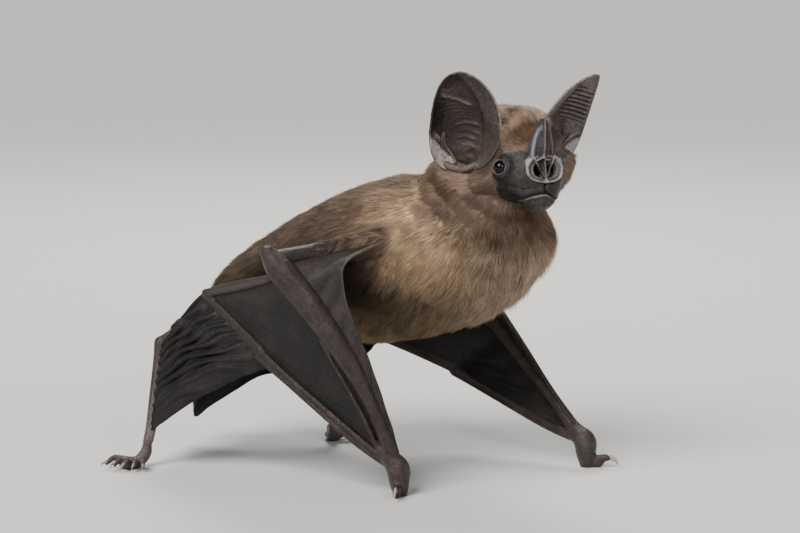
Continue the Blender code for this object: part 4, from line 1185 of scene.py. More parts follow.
def ear_tone(points, side, m, v, is_inner):
    """Dark in the scoop's depth, pinkish low in it, brown on the front band, pale at the lobe, with
    painted highlights on the ridges and rim, painted shade in the canal and crevice, and the left
    scoop paler as painted light.
    """
    ridges = np.clip(ear_ridges(side, m, v), 0.0, 0.6)
    band = ear_front_band(m, v)
    behind, low = ear_rear_lobe(m, v)
    fine = noise(points, 0.4, 42)
    # Painted light: the left ear's scoop is painted paler than the right one's.
    pale = np.full(len(points), 0.85 if side > 0 else 0.0)
    scoop = layered(
        (0.010, 0.007, 0.006),
        ((0.112, 0.068, 0.057), 0.9 * bell(v - 0.22, 0.15)),
        ((0.035, 0.027, 0.024), ramp(0.62, 0.85, v)),
        ((0.150, 0.125, 0.112), pale),
        # Painted highlight on the cross ridges.
        ((0.19, 0.145, 0.125), np.clip(1.5 * ridges, 0, 0.85)))
    lobe = mixed((0.25, 0.215, 0.20), (0.56, 0.51, 0.48),
                 np.clip(mottle(points, 0.5 + 0.30 * fine, (0.3, 1.3, 43)), 0, 1))
    canal = bell(m - CANAL_AT[0], 0.12) * bell(v - CANAL_AT[1], 0.045)
    # Painted highlight along the ear's front edge and its tip.
    rim = bell(1.0 - m, 0.014) * ramp(0.2, 0.45, v) + 0.4 * bell(1.0 - v, 0.006)
    inner = (
        (scoop, 1.0 - band),
        ((0.105, 0.090, 0.084), band * (0.55 + 0.35 * fine) * ramp(0.3, 0.7, v)),
        (lobe, 0.9 * (fade(-0.12, -0.02, behind) * low)),
        ((0.34, 0.29, 0.25), 0.8 * bell(behind, 0.035) * low),
        # Painted shade in the crevice behind the lobe's fold.
        ((0.006, 0.004, 0.004), 0.9 * bell(behind + 0.1, 0.04) * low * ramp(0.05, 0.15, v)),
        ((0.12, 0.035, 0.028), 0.15 * bell(m - 0.5, 0.12) * bell(v - 0.09, 0.05)),
        # Painted shade, near black, in the canal.
        ((0.004, 0.002, 0.002), 0.97 * canal))
    return layered(
        mottled(EAR_BROWN, (0.040, 0.030, 0.027), points, 0.5, (0.4, 2.4, 41)),
        *((colour, is_inner * share) for colour, share in inner),
        ((0.26, 0.225, 0.205), 0.7 * np.clip(rim, 0, 1)))


def limb_tone(points):
    """Mottled brown skin over the bones, paler at the wrists and ankles, darker on the upper arms,
    with the membranes' worn tone round the knuckles and fingertips.
    """
    def near(place, size):
        return bell(np.linalg.norm(points - place, axis=1), size)
    tone = mottled(LIMB_BROWN, LIMB_PALE, points, 0.25, (0.3, 2.2, 51), (0.2, 0.7, 52))
    for side in SIDES:
        on_arm = bell(np.linalg.norm(points - side.elbow * 0.6 - side.shoulder * 0.4, axis=1), 9.0)
        tone = layered(tone, ((0.10, 0.068, 0.058), 0.25 * near(side.wrist, 5.0)),
                       (LIMB_BROWN, 0.8 * on_arm),
                       (WEB_WORN, 0.8 * near(side.knuckle, 12.0)),
                       (WEB_WORN, 0.8 * near(side.fingertip, 12.0)),
                       ((0.13, 0.10, 0.095), 0.5 * near(side.ankle, 9.0)))
    return tone


def front_tone(points):
    """Dark brown; the free edge, the grid's last columns, is pale near the shoulder."""
    u, v = uv_of(*FRONT_GRID)
    edge = np.tile((0.65 * ramp(0.955, 0.99, v) * fade(0.25, 0.5, u)).ravel(), 2)
    share = np.clip(mottle(points, 0.5, (0.3, 2.5, 63), (0.3, 0.6, 64)), 0, 1)
    tone = mixed((0.009, 0.0070, 0.006), (0.034, 0.0255, 0.0215), share)
    return mixed(tone, (0.17, 0.13, 0.105), edge)


def web_tone(points):
    """Black skin with worn brown patches."""
    share = mottle(points, 0.15, (0.3, 3.5, 61), (0.25, 0.9, 62))
    return mixed(WEB_BLACK, WEB_WORN, np.clip(share, 0, 1))


# ---------------------------------------------------------------- shader maths

class Socket:
    """A wrapped shader socket: + - * with a number or a socket on either side, and the functions
    with names, become Math nodes."""

    def __init__(self, tree, link):
        self.tree = tree
        self.link = link

    def _math(self, operation, *others):
        node = self.tree.nodes.new("ShaderNodeMath")
        node.operation = operation
        for slot, value in zip(node.inputs, (self, *others)):
            feed(self.tree, slot, value)
        return Socket(self.tree, node.outputs[0])

    def __add__(self, other):
        return self._math("ADD", other)

    def __sub__(self, other):
        return self._math("SUBTRACT", other)

    def __rsub__(self, other):
        return self * -1.0 + other

    def __mul__(self, other):
        return self._math("MULTIPLY", other)

    __radd__ = __add__
    __rmul__ = __mul__

    def least(self, other):
        return self._math("MINIMUM", other)

    def clamped(self, low=0.0, high=1.0):
        return self._math("MAXIMUM", low).least(high)


def feed(tree, slot, value):
    """Gives a node's input a plain value, or the output that a Socket wraps."""
    if isinstance(value, Socket):
        tree.links.new(value.link, slot)
    else:
        slot.default_value = value


class Finish:
    """A Principled material being put together."""

    def __init__(self, name, **constants):
        self.material = bpy.data.materials.new(name)
        self.material.use_nodes = True
        self.tree = self.material.node_tree
        self.shader = self.tree.nodes["Principled BSDF"]
        self.drive(**constants)

    def drive(self, **values):
        """Values or sockets for the shader's inputs, by their names."""
        for name, value in values.items():
            feed(self.tree, self.shader.inputs[name.replace("_", " ")], value)

    def made(self, kind, settings=(), output=0, **values):
        """An output of a new node, from its type, settings, and inputs by name."""
        node = self.tree.nodes.new(kind)
        for name, value in dict(settings).items():
            setattr(node, name, value)
        for name, value in values.items():
            feed(self.tree, node.inputs[name], value)
        return Socket(self.tree, node.outputs[output])

    def place(self):
        return self.made("ShaderNodeTexCoord", output="Object")

    def noise(self, scale, detail=3.0):
        return self.made("ShaderNodeTexNoise", Vector=self.place(), Scale=scale, Detail=detail)

    def attribute(self, name, output="Color"):
        return self.made("ShaderNodeAttribute", {"attribute_name": name}, output)

    def tinted(self, colour, amount, low, high):
        """The colour multiplied by a grey that runs from low to high with the amount."""
        grey = amount * (high - low) + low
        return self.made("ShaderNodeVectorMath", {"operation": "SCALE"}, Vector=colour, Scale=grey)

    def bump(self, height, strength, distance):
        self.drive(Normal=self.made("ShaderNodeBump", Height=height, Strength=strength,
                                    Distance=distance))


def skin_finish():
    """Bare hide: per-point tone, mottled; leathery grain and fine cracks in the bump."""
    skin = Finish("bare_skin", Specular_IOR_Level=0.25)
    speckle = skin.noise(1500.0)
    grain = (speckle * 0.5 + skin.noise(3000.0, 2.0) * 0.5 - 0.5) * 2.2 + 0.5
    skin.drive(Base_Color=skin.tinted(skin.attribute("tone"), grain.clamped(), 0.50, 1.50))
    gloss = skin.attribute("gloss", "Fac")
    skin.drive(Roughness=(gloss + (skin.noise(2600.0, 2.0) - 0.5) * 0.25).clamped(0.15, 1.0))
    cells = skin.made("ShaderNodeTexVoronoi", {"feature": "DISTANCE_TO_EDGE"}, "Distance",
                      Vector=skin.place(), Scale=2300.0)
    cracks = cells.least(0.12) * 5.0
    skin.bump(skin.noise(3600.0, 4.0) * 0.6 + cracks * 0.5 + skin.noise(900.0, 2.0) * 0.8,
              0.75, 0.00016)
    return skin.material


def eye_finish():
    """Black and wet, with a slightly uneven gloss."""
    eye = Finish("wet_eye", Base_Color=(0.001, 0.001, 0.0012, 1.0), Specular_IOR_Level=0.22)
    eye.drive(Roughness=eye.noise(400.0) * 0.03 + 0.03)
    return eye.material


def claw_finish():
    """Pale horn with streaks along it."""
    horn = Finish("claw_horn", Coat_Weight=0.3, Coat_Roughness=0.2)
    streak = horn.noise(2200.0, 2.0)
    horn.drive(Base_Color=horn.tinted(horn.attribute("tone"), streak, 0.7, 1.3))
    horn.drive(Roughness=streak * 0.3 + 0.25)
    horn.bump(streak, 0.3, 0.00005)
    return horn.material


def coat_finish():
    """Hair: root-to-tip tone carried by the tufts, with a soft sheen."""
    coat = Finish("coat_hair", Specular_IOR_Level=0.12)
    strand = coat.noise(5200.0, 2.0)
    coat.drive(Base_Color=coat.tinted(coat.attribute("tone"), strand, 0.8, 1.2))
    coat.drive(Roughness=strand * 0.25 + 0.5)
    return coat.material


def paint(piece, tone, gloss=None):
    """Stores a colour, and a roughness, for each point of a piece."""
    mesh = piece.data
    layer = mesh.attributes.new("tone", "FLOAT_COLOR", "POINT")
    rgba = np.ones((len(tone), 4), np.float32)
    rgba[:, :3] = np.clip(tone * SHADE, 0.0, 1.0)
    layer.data.foreach_set("color", rgba.ravel())
    mesh.color_attributes.active_color = mesh.color_attributes["tone"]
    if gloss is not None:
        rough = mesh.attributes.new("gloss", "FLOAT", "POINT")
        rough.data.foreach_set("value", np.clip(gloss, 0.0, 1.0).astype(np.float32))


# ---------------------------------------------------------------- the skin in one piece

FLESH = ("trunk", "neck", "head", "nose_leaf", "tail", "tail_membrane") + tuple(
    f"{part}_{side.name}" for side in SIDES for part in (
        "ear", "forearm", "wrist", "metacarpals", "phalanges", "folded_tip", "fore_finger",
        "upper_arm", "thigh", "shin", "foot", "front_membrane", "hand_membrane", "leg_membrane",
        "flank_membrane"))


def under_coat(shell):
    """The skin below the fur takes the markings of the coat that grows from it."""
    normals = normals_of(shell)
    p, *regions = coat_place(shell[0], normals)
    root, tip = coat_tone(shell[0], normals, p, *regions)
    return root * 0.55 + tip * 0.20


def skin_parts():
    """Every shell of the skin with its tone and roughness at each point and its dye."""
    parts = []

    def add(shell, tone, gloss, name):
        count = len(shell[0])
        parts.append((shell, np.broadcast_to(tone, (count, 3)),
                      np.broadcast_to(gloss, (count,)), name))

    body, face, plate, leaf = body_shell(), face_shell(), nose_plate(), nose_leaf()
    add(body, under_coat(body), 0.75, "coat")
    wet = 0.46 - 0.12 * bell(eye_distance(head_place(face[0])) - 2.2, 1.0)
    bare = bare_face(face[0], head_place(face[0]))[:, None]
    add(face, under_coat(face) * (1.0 - bare) + face_tone(face[0]) * bare, wet, "face")
    add(plate, plate_tone(plate[0]), 0.40, "face")
    add(leaf, leaf_tone(leaf[0]), 0.36, "face")
    for out in (-1, 1):
        lids, ear, flap, fold = (make(out) for make in (eyelids, ear_shell, tragus, ear_base))
        add(lids, mottled((0.035, 0.032, 0.032), (0.13, 0.115, 0.108), lids[0],
                          0.5, (0.5, 0.6, 73)), 0.38, "face")
        grid, m, v, opening = ear_points(out)
        middle = np.tile(grid.reshape(-1, 3), (2, 1))
        is_inner = (np.sum((ear[0] - middle) * opening, axis=1) > 0).astype(float)
        across, up = (np.tile(share.ravel(), 2) for share in (m, v))
        add(ear, ear_tone(ear[0], out, across, up, is_inner), 0.42, "ears")
        add(flap, tragus_tone(flap[0]), 0.40, "ears")
        add(fold, mottled((0.045, 0.030, 0.026), (0.135, 0.098, 0.086), fold[0],
                          0.5, (0.5, 0.9, 75)), 0.40, "ears")
    limbs = fused([shell for side in SIDES for shell in limb_shells(side)] + [tail_shell()],
                  LIMB_CELL)
    limbs = relaxed(limbs, np.full(len(limbs[0]), 0.6), 3)
    limbs[0][:, 2] = np.maximum(limbs[0][:, 2], 0.0)
    add(limbs, limb_tone(limbs[0]), 0.35, "limbs")
    for side in SIDES:
        for make, tone in ((front_membrane, front_tone), (hand_membrane, web_tone),
                           (leg_membrane, web_tone), (flank_membrane, web_tone)):
            skin = make(side)
            add(skin, tone(skin[0]), 0.43, "webs")
    skin = tail_membrane()
    add(skin, web_tone(skin[0]), 0.46, "webs")
    return parts


SKIN_PARTS = []


def skin_ready():
    """The skin's parts, worked out once for the skin and for the coat that grows on it."""
    if not SKIN_PARTS:
        SKIN_PARTS.extend(skin_parts())
    return SKIN_PARTS


def hold(piece, nodes, material):
    """Puts a finished piece on the body and into its material slot."""
    piece.data.materials.append(material)
    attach(piece, "root")
    if nodes:
        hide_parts(*nodes)
    return piece


# ---------------------------------------------------------------- the coat

# Linear colours of the coat, each from root to tip.
COAT_BACK = ((0.046, 0.030, 0.020), (0.360, 0.262, 0.190))
COAT_SHOULDER_AND_LIGHT = ((0.780, 0.560, 0.360), (1.230, 0.895, 0.575))
COAT_FLANK = ((0.060, 0.038, 0.020), (0.600, 0.430, 0.265))
COAT_CHEST = ((0.080, 0.052, 0.034), (0.860, 0.650, 0.475))
COAT_NECK = ((0.055, 0.036, 0.025), (0.500, 0.362, 0.265))
COAT_CHEEK = ((0.055, 0.036, 0.025), (0.470, 0.335, 0.250))
COAT_FOREHEAD = ((0.040, 0.020, 0.010), (0.110, 0.060, 0.036))
COAT_CROWN = ((0.050, 0.031, 0.019), (0.560, 0.405, 0.290))
COAT_JAW = ((0.030, 0.015, 0.008), (0.130, 0.075, 0.040))
COAT_ARM = ((0.030, 0.021, 0.016), (0.160, 0.115, 0.090))
PIECES = 8
TUFTS = 300000
LOCK = 30                         # tufts to a lock
PATCH = 0.003                     # side of a tuft's patch on its map


def coat_place(points, normals):
    """Head places, and how far each point is on the head, the neck and the chest, 0 to 1."""
    p = head_place(points)
    ahead, _, up = p.T
    _, y, z = points.T
    on_head = ramp(-9.5, -5.0, ahead) * ramp(-15.0, -11.5, up + 0.25 * ahead)
    neck = ((1.0 - on_head) * ramp(52.0, 60.0, z)
            * (1.0 - 0.9 * ramp(2.0, 8.5, y)))
    chest = (1.0 - on_head) * ramp(0.15, 0.7, -normals[:, 1]) * fade(4.0, 16.0, y)
    return p, on_head, neck, chest


def fur_cover(points, kind):
    """1 where the coat grows and 0 on bare skin."""
    p = head_place(points)
    station = head_station(p)
    if kind == "face":
        cover = (1.0 - bare_face(points, p)) * ramp(4.3, 4.8, station)
    else:
        ahead, *rings = np.array(HEAD_STATIONS).T
        middle, wide, high = (np.interp(station, ahead, row) for row in rings)
        inside = fade(0.80, 0.95, np.hypot(p[:, 1] / wide, (p[:, 2] - middle) / high))
        cover = 1.0 - ramp(4.6, 5.2, station) * inside
    for side in (-1, 1):
        m, v, _, out = ear_place(points, side)
        reach_out = 1.02 + 0.16 * (side * m < 0.0) * ramp(0.25, 0.4, v)
        cover = cover * (1.0 - (np.abs(m) < reach_out) * (v > 0.01) * (v < 1.0)
                         * (out < SCOOP_DEPTH[side]) * (out > -6.0))
    return cover


def laid(way, normals):
    """Ways turned flat onto a surface with these normals."""
    return unit(way - normals * np.sum(way * normals, axis=1, keepdims=True))


def coat_lie(points, normals, p, on_head, chest):
    """The way each hair runs, flat on the skin: back from the nose, back and down the body."""
    level = np.abs(normals[:, 2])
    back = ramp(-9.0, 10.0, points[:, 1]) * (1.0 - 0.75 * chest)
    body = (np.array((0.0, 1.0, -0.22)) * back[:, None] + np.array((0.0, 0.12, -1.0))
            * (0.30 + 0.95 * (1.0 - level))[:, None])
    out = unit(np.stack((0.0 * p[:, 0], p[:, 1], 0.6 * (p[:, 2] + 1.0)), axis=1))
    head = np.array((-1.0, 0.0, -0.1)) + 0.55 * out * ramp(-2.0, 8.0, p[:, :1])
    head = head + np.array((0.0, 0.0, -0.55)) * fade(-3.0, 4.0, p[:, 2:])
    return laid(body * (1.0 - on_head)[:, None] + unit(head) @ HEAD_AXES * on_head[:, None],
                normals)


def coat_length(points, p, on_head, neck, chest, near_bare):
    """Long on the chest, shorter on the head, shortest beside the bare face."""
    ahead, _, up = p.T
    _, y, _ = points.T
    body = 4.0 + 1.6 * chest - 0.4 * neck + 0.7 * ramp(40.0, 60.0, y)
    front = ramp(2.0, 9.5, ahead)
    head = 3.3 * (1.0 - front) + (1.7 - 0.5 * fade(-3.0, 3.0, up)) * front
    return body * (1.0 - on_head) + head * (1.0 - 0.62 * near_bare) * on_head


def coat_tone(points, normals, p, on_head, neck, chest):
    """Root and tip colours, by the coat's markings, with painted shade behind the right arm's front
    membrane and where the forehead recedes, and shoulders whose pale coat is partly painted light.
    """
    ahead, left, up = p.T
    _, y, z = points.T
    # Paler coat on the shoulders, raised to stand in for the strong light they catch: partly the
    # coat's colour, partly painted light.
    shoulder = (np.clip(1.3 * bell(y - 10.0, 11.5) * ramp(38.0, 50.0, z), 0, 1)
                * (1.0 - 0.8 * ramp(0.5, 0.95, normals[:, 2]))
                * (1.0 - 0.65 * ramp(62.0, 66.0, z)))
    low_side = (fade(38.0, 47.0, z - 0.1 * y)
                * fade(30.0, 45.0, y))
    shaded = np.linalg.norm((points - (-17.0, 23.0, 45.0)) / (6.0, 6.5, 6.5), axis=1)
    throat = bell(z - 60.5, 4.5) * chest
    brow = (bell((up - 3.0) / 3.2, 1.0) * bell(left + 1.2, 5.6)
            * ramp(8.5, 11.0, ahead))
    pale = bell(left + 4.2, 1.5) * ramp(3.5, 6.0, up) * ramp(4.0, 7.0, ahead)
    streaks = ramp(0.0, 0.5, noise(p * (0.5, 1.0, 0.5), 0.9, 93)) * ramp(3.0, 6.0, up)
    # Painted shade, dark and bluish, where the forehead recedes.
    forehead_shade = spot(2.2, ahead - 9.6, left + 2.2, up - 8.0)

    def tones(end):
        forehead = COAT_FOREHEAD[end]
        head = layered(
            COAT_CHEEK[end],
            (COAT_CROWN[end], ramp(3.5, 7.5, up) * 0.8),
            (forehead, np.clip(1.3 * brow, 0, 1)),
            (COAT_CROWN[end], 0.8 * pale),
            (forehead, 0.75 * streaks * (1.0 - 0.7 * pale)),
            (forehead * np.array((0.45, 0.45, 0.55)), 0.85 * forehead_shade),
            (COAT_JAW[end], 0.9 * ramp(10.0, 12.5, -up) * ramp(3.0, 7.0, ahead)))
        return layered(
            COAT_BACK[end],
            (COAT_SHOULDER_AND_LIGHT[end], shoulder),
            (COAT_FLANK[end], 0.9 * low_side),
            (COAT_BACK[0], 0.75 * bell(shaded, 1.0)),
            (COAT_CHEST[end], 0.9 * chest * fade(56.0, 63.0, z)),
            (COAT_NECK[end], 0.85 * neck),
            (head, on_head),
            (COAT_JAW[end], 0.75 * throat))
    return tones(0), tones(1)


def shares_of(shell, weight):
    """The corners of each triangle of a shell, and its area times its weight."""
    points, quads, triangles = shell
    corners = np.vstack((quads[:, [0, 1, 2]], quads[:, [0, 2, 3]], triangles))
    a, b, c = (points[corners[:, k]] for k in range(3))
    return corners, np.linalg.norm(np.cross(b - a, c - a), axis=1) * weight[corners].mean(axis=1)


def sampled(shell, weight, count, rng):
    """Random places on a shell, as many on each triangle as its area times its weight asks."""
    corners, share = shares_of(shell, weight)
    pick = rng.choice(len(corners), count, p=share / share.sum())
    s = np.sqrt(rng.random(count))
    t = rng.random(count)
    parts = np.stack((1.0 - s, s * (1.0 - t), s * t), axis=1)[:, :, None]
    chosen = corners[pick]
    return ((shell[0][chosen] * parts).sum(axis=1),
            unit((normals_of(shell)[chosen] * parts).sum(axis=1)))


def coat_map(points, p, on_head):
    """Where each root lies on an unwrap of the skin: the trunk rolled out about its length, and the
    head, in its own corner, rolled out about its own."""
    def rolled(along, across, over):
        turn = np.arctan2(across, over) / (2 * np.pi) + 0.5
        return np.stack((along, 0.02 + 0.95 * turn), axis=1)
    share, offset = trunk_place(points)
    ahead, left, up = p.T
    body = rolled(0.02 + 0.6 * np.clip(share, 0, 1), offset[:, 0], -offset[:, 2])
    head = rolled(0.68 + 0.28 * np.clip((ahead + 11.0) / 28.0, 0, 1), left, -up - 3.0)
    return np.where((on_head > 0.5)[:, None], head, body)


def grow(points, normals, lie, length, width, lift, root_tone, tip_tone, at, rng):
    """Tufts as three-sided spikes of four points: a base ring set in the skin, and a tip.

    The tip stands off the skin by the length times the sine of the lift."""
    count = len(points)
    roll = rng.normal(0.0, 0.13, count)[:, None]
    lie = lie * np.cos(roll) + np.cross(lie, normals) * np.sin(roll)
    side = np.cross(lie, normals)
    start = points - normals * 0.15
    spikes = np.empty((count, 4, 3))
    for k, angle in enumerate(np.radians((90.0, 210.0, 330.0))):
        spikes[:, k] = (start + side * (np.cos(angle) * width * 0.5)[:, None]
                        + normals * (np.sin(angle) * width * 0.35)[:, None])
    spikes[:, 3] = (points + lie * (length * np.cos(lift))[:, None]
                    + normals * (length * np.sin(lift))[:, None])
    sides = np.array(((0, 1, 3), (1, 2, 3), (2, 0, 3), (0, 2, 1)))
    faces = sides + np.arange(count)[:, None, None] * 4
    tone = np.concatenate((np.repeat(root_tone[:, None], 3, 1), tip_tone[:, None]), axis=1)
    uv = at[:, None, :] + np.array(((0.0, 0.0), (0.5, 0.3), (1.0, 0.0), (0.5, 1.0))) * PATCH
    return ((spikes.reshape(-1, 3), np.zeros((0, 4), int), faces.reshape(-1, 3)),
            tone.reshape(-1, 3), uv.reshape(-1, 2))


def along_limb(points, end, start):
    """Shares of the way from a limb's bare end to its furred one."""
    return (points - end) @ (start - end) / np.sum((start - end) ** 2)


def coat_roots(rng, total):
    """Roots over the furred skin with everything a tuft needs, thickest on the head.

    Returns places, normals, whether each is on the face, how far up a limb's fur each is (1 on the
    body), and the way the fur runs down that limb."""
    grounds = []
    for (shell, *_), kind in zip(skin_ready(), ("body", "face")):
        p, on_head, *_ = coat_place(shell[0], normals_of(shell))
        density = fur_cover(shell[0], kind) * (
            1.0 + 1.6 * on_head + 1.6 * on_head * ramp(2.0, 6.0, p[:, 0]))
        grounds.append((shell, density, kind == "face", None, np.zeros(3)))
    # The upper arms and thighs: the bare end, the furred end and where the fur starts.
    for side in SIDES:
        shells = limb_shells(side)
        for shell, end, start, first in ((shells[1], side.elbow, side.shoulder, 0.20),
                                         (shells[4], side.knee, side.hip, 0.30)):
            density = ramp(first, first + 0.45, along_limb(shell[0], end, start))
            grounds.append((shell, density, False, (end, start, first), unit(end - start)))
    weights = [shares_of(shell, density)[1].sum() for shell, density, *_ in grounds]
    roots = []
    for (shell, density, is_face, fur, way), weight in zip(grounds, weights):
        count = int(total * weight / sum(weights))
        points, normals = sampled(shell, density, count, rng)
        grown = np.ones(count)
        if fur:
            end, start, first = fur
            grown = ramp(first - 0.1, 0.8, along_limb(points, end, start))
        roots.append((points, normals, np.full(count, is_face), grown, np.tile(way, (count, 1))))
    return [np.concatenate(part) for part in zip(*roots)]


def locks(points, rng):
    """Gathers roots round one in LOCK of them: the way to that one, its own shade and how near
    the edge of its lock each root is."""
    seeds = points[rng.choice(len(points), len(points) // LOCK, replace=False)]
    tree = kdtree.KDTree(len(seeds))
    for number, seed in enumerate(seeds.tolist()):
        tree.insert(seed, number)
    tree.balance()
    nearest = np.array([tree.find(root)[1] for root in points.tolist()])
    pull = seeds[nearest] - points
    away = np.linalg.norm(pull, axis=1)
    return pull, rng.normal(0.0, 1.0, len(seeds))[nearest], ramp(0.25, 0.85, away)


def coat_tufts(length_factor, width_factor, total):
    """All tufts of the coat, in order of place, so that each piece is one region."""
    rng = np.random.default_rng(7)
    roots = coat_roots(rng, total)
    order = np.argsort(roots[0][:, 1] * 0.7 - roots[0][:, 2] * 0.5)
    points, normals, is_face, grown, way = (part[order] for part in roots)
    count = len(points)
    on_limb = np.abs(way).sum(axis=1) > 0
    p, on_head, neck, chest = coat_place(points, normals)
    near_bare = np.maximum(
        is_face * (1.0 - np.clip(fur_cover(points, "face"), 0, 1)),
        is_face * ramp(7.0, 9.0, head_station(p)) * fade(0.0, 2.5, p[:, 2]))
    # The way each tuft lies, swung by waves of two sizes.
    down_limb = laid(unit(way + np.array((0.0, 0.15, -0.45))), normals)
    lie = np.where(on_limb[:, None], down_limb, coat_lie(points, normals, p, on_head, chest))
    side = np.cross(lie, normals)
    swing = np.radians(17.0) * noise(points, 1.7, 101) + np.radians(12.0) * noise(points, 4.5, 102)
    swing = (swing * (1.0 + 1.1 * chest) * (1.0 - 0.5 * on_head))[:, None]
    lie = unit(lie * np.cos(swing) + side * np.sin(swing))
    length = coat_length(points, p, on_head, neck, chest, near_bare) * length_factor
    length = length * np.where(on_limb, 0.22 + 0.6 * grown, 1.0)
    length = length * (1.0 + 0.22 * noise(points, 1.4, 103)) * rng.uniform(0.72, 1.15, count)
    pull, seed_tone, edge = locks(points, rng)
    lie = laid(unit(lie * length[:, None] + (0.62 - 0.22 * on_head)[:, None] * pull), normals)
    lift = np.radians(11.0 + 4.0 * chest + 3.0 * on_head * (1 - near_bare)) * (
        1.0 + 0.35 * noise(points, 1.9, 104) + 0.15 * rng.normal(size=count))
    width = ((0.19 + 0.03 * chest - 0.06 * on_head - 0.03 * near_bare)
             * rng.uniform(0.75, 1.25, count) * width_factor)
    root, tip = coat_tone(points, normals, p, on_head, neck, chest)
    limb = on_limb * (1.0 - 0.2 * grown)
    root, tip = mixed(root, COAT_ARM[0], limb), mixed(tip, COAT_ARM[1], limb)
    # Each tuft's own shade, its lock's, painted shade at the edges of each lock where the locks
    # part, and painted shade in the neck's creases.
    crease = (ramp(0.55, 0.95, neck_folds(points, 5.2)) * bell(points[:, 2] - 58.0, 8.0)
              * fade(8.0, 14.0, points[:, 1]) * (1.0 - on_head))
    shade = (1.08 + 0.16 * noise(points, 3.4, 106)
             + (0.13 * seed_tone - 0.30 * edge) * (1.0 - 0.3 * on_head)
             + rng.normal(0.0, 0.34, count)
             - 0.45 * crease * ramp(-0.3, 0.2, noise(points, 3.0, 107)))
    shade = np.clip(shade, 0.25, 1.8)[:, None]
    root, tip = root * shade, tip * shade
    tip = tip / np.maximum(tip.max(axis=1, keepdims=True) * SHADE, 1.0)
    return (points, normals, lie, length, width, lift, root, tip, coat_map(points, p, on_head),
            rng)


# ---------------------------------------------------------------- floor, light and camera

HALF_FLOOR = 30.0
FLOOR_COLOUR = (0.54, 0.53, 0.515, 1.0)
SKY_COLOUR = (0.95, 0.97, 1.0, 1.0)
LIGHTS_AIM = (0.004, -0.007, 0.046)
CAMERA_AT = (-0.4162, -0.2692, 0.1156)
CAMERA_AIM = (0.0037, -0.0068, 0.0460)
SUN_WAY = (0.72, -0.06, -0.69)


def aimed(thing, way):
    """Turns a light or a camera to face the given way."""
    thing.rotation_euler = Vector(way).to_track_quat("-Z", "Y").to_euler()


def lamp(name, kind, way, place=(0.0, 0.0, 0.0), **settings):
    """A light that shines the given way, with its power, colour and size."""
    light = bpy.data.lights.new(name, kind)
    for label, value in settings.items():
        setattr(light, label, value)
    made = placed(name, light)
    made.location = place
    aimed(made, way)


def floor_finish():
    """A pale matt grey, faintly mottled."""
    floor = Finish("pale_floor", Roughness=0.85)
    pale = floor.made("ShaderNodeRGB")
    pale.link.default_value = FLOOR_COLOUR
    floor.drive(Base_Color=floor.tinted(pale, floor.noise(60.0), 0.97, 1.03))
    return floor.material


def make_stage():
    """The floor, a soft sun, a window and a rim light, the sky and the camera."""
    mesh = bpy.data.meshes.new("floor")
    mesh.from_pydata([(x * HALF_FLOOR, y * HALF_FLOOR, 0.0)
                      for x, y in ((-1, -1), (1, -1), (1, 1), (-1, 1))], [], [(0, 1, 2, 3)])
    mesh.materials.append(floor_finish())
    placed("floor", mesh)
    lamp("key", "SUN", SUN_WAY, energy=5.25, angle=0.6, color=(1.0, 0.98, 0.95))
    for name, place, size, energy, colour in (
            ("window", (-0.30, -0.46, 0.30), 0.16, 1.44, (0.93, 0.97, 1.0)),
            ("rim", (0.40, 0.25, 0.55), 0.30, 3.6, (1.0, 0.99, 0.97))):
        lamp(name, "AREA", Vector(LIGHTS_AIM) - Vector(place), place, shape="DISK", size=size,
             energy=energy, color=colour)
    world = bpy.context.scene.world or bpy.data.worlds.new("studio")
    bpy.context.scene.world = world
    world.use_nodes = True
    background = world.node_tree.nodes["Background"]
    background.inputs["Color"].default_value = SKY_COLOUR
    background.inputs["Strength"].default_value = 0.33
    camera = bpy.data.cameras.new("camera")
    camera.lens = 100.0
    camera.sensor_width = 36.0
    camera.clip_start = 0.01
    stand = placed("camera", camera)
    stand.location = CAMERA_AT
    aimed(stand, Vector(CAMERA_AIM) - stand.location)
    bpy.context.scene.camera = stand


# ---------------------------------------------------------------- add-on

class BatSizes(bpy.types.PropertyGroup):
    """The sizes that a user would change."""
    coat_length: bpy.props.FloatProperty(
        name="Coat length", description="Length of the coat against its natural one",
        default=1.0, min=0.3, max=2.0, subtype="FACTOR")
    hair_width: bpy.props.FloatProperty(
        name="Hair width", description="Width of each tuft against its natural one",
        default=1.0, min=0.3, max=3.0, subtype="FACTOR")
    tufts: bpy.props.IntProperty(
        name="Tufts", description="Number of tufts in the whole coat", default=TUFTS, min=1000,
        max=340000)


def dye(name, default, text):
    """A colour that the user can change."""
    return bpy.props.FloatVectorProperty(name=name, description=text, default=default, min=0.0,
                                         max=1.0, size=3, subtype="COLOR")


class BatColours(bpy.types.PropertyGroup):
    """The colours that a user would change."""
    coat: dye("Coat", (0.450, 0.320, 0.228),
              "Mean colour of the coat's tips; its markings keep their ratios")
    face: dye("Face", SLATE_PALE, "Pale part of the bare face")
    ears: dye("Ears", EAR_BROWN, "Skin of the ears")
    limbs: dye("Limbs", LIMB_PALE, "Pale part of the skin over the bones")
    webs: dye("Membranes", WEB_WORN, "Worn part of the wing and leg membranes")
    claws: dye("Claws", (0.27, 0.235, 0.218), "Horn of the claws")


def dyed(context, name, tone):
    """A tone changed by as much as the user has changed that part's colour."""
    colours = context.scene.bat_colours
    default = BatColours.bl_rna.properties[name].default_array
    return tone * (np.array(getattr(colours, name)) / np.array(default))


class BAT_OT_skin(bpy.types.Operator):
    """Make the skin: body, face, ears, limbs and membranes in one piece"""
    bl_idname = "bat.skin"
    bl_label = "Skin"

    def execute(self, context):
        shells, tones, gloss, names = zip(*skin_ready())
        piece = put_mesh("skin", joined(shells))
        paint(piece, np.vstack([dyed(context, name, tone) for name, tone in zip(names, tones)]),
              np.concatenate(gloss))
        hold(piece, FLESH, skin_finish())
        return {"FINISHED"}


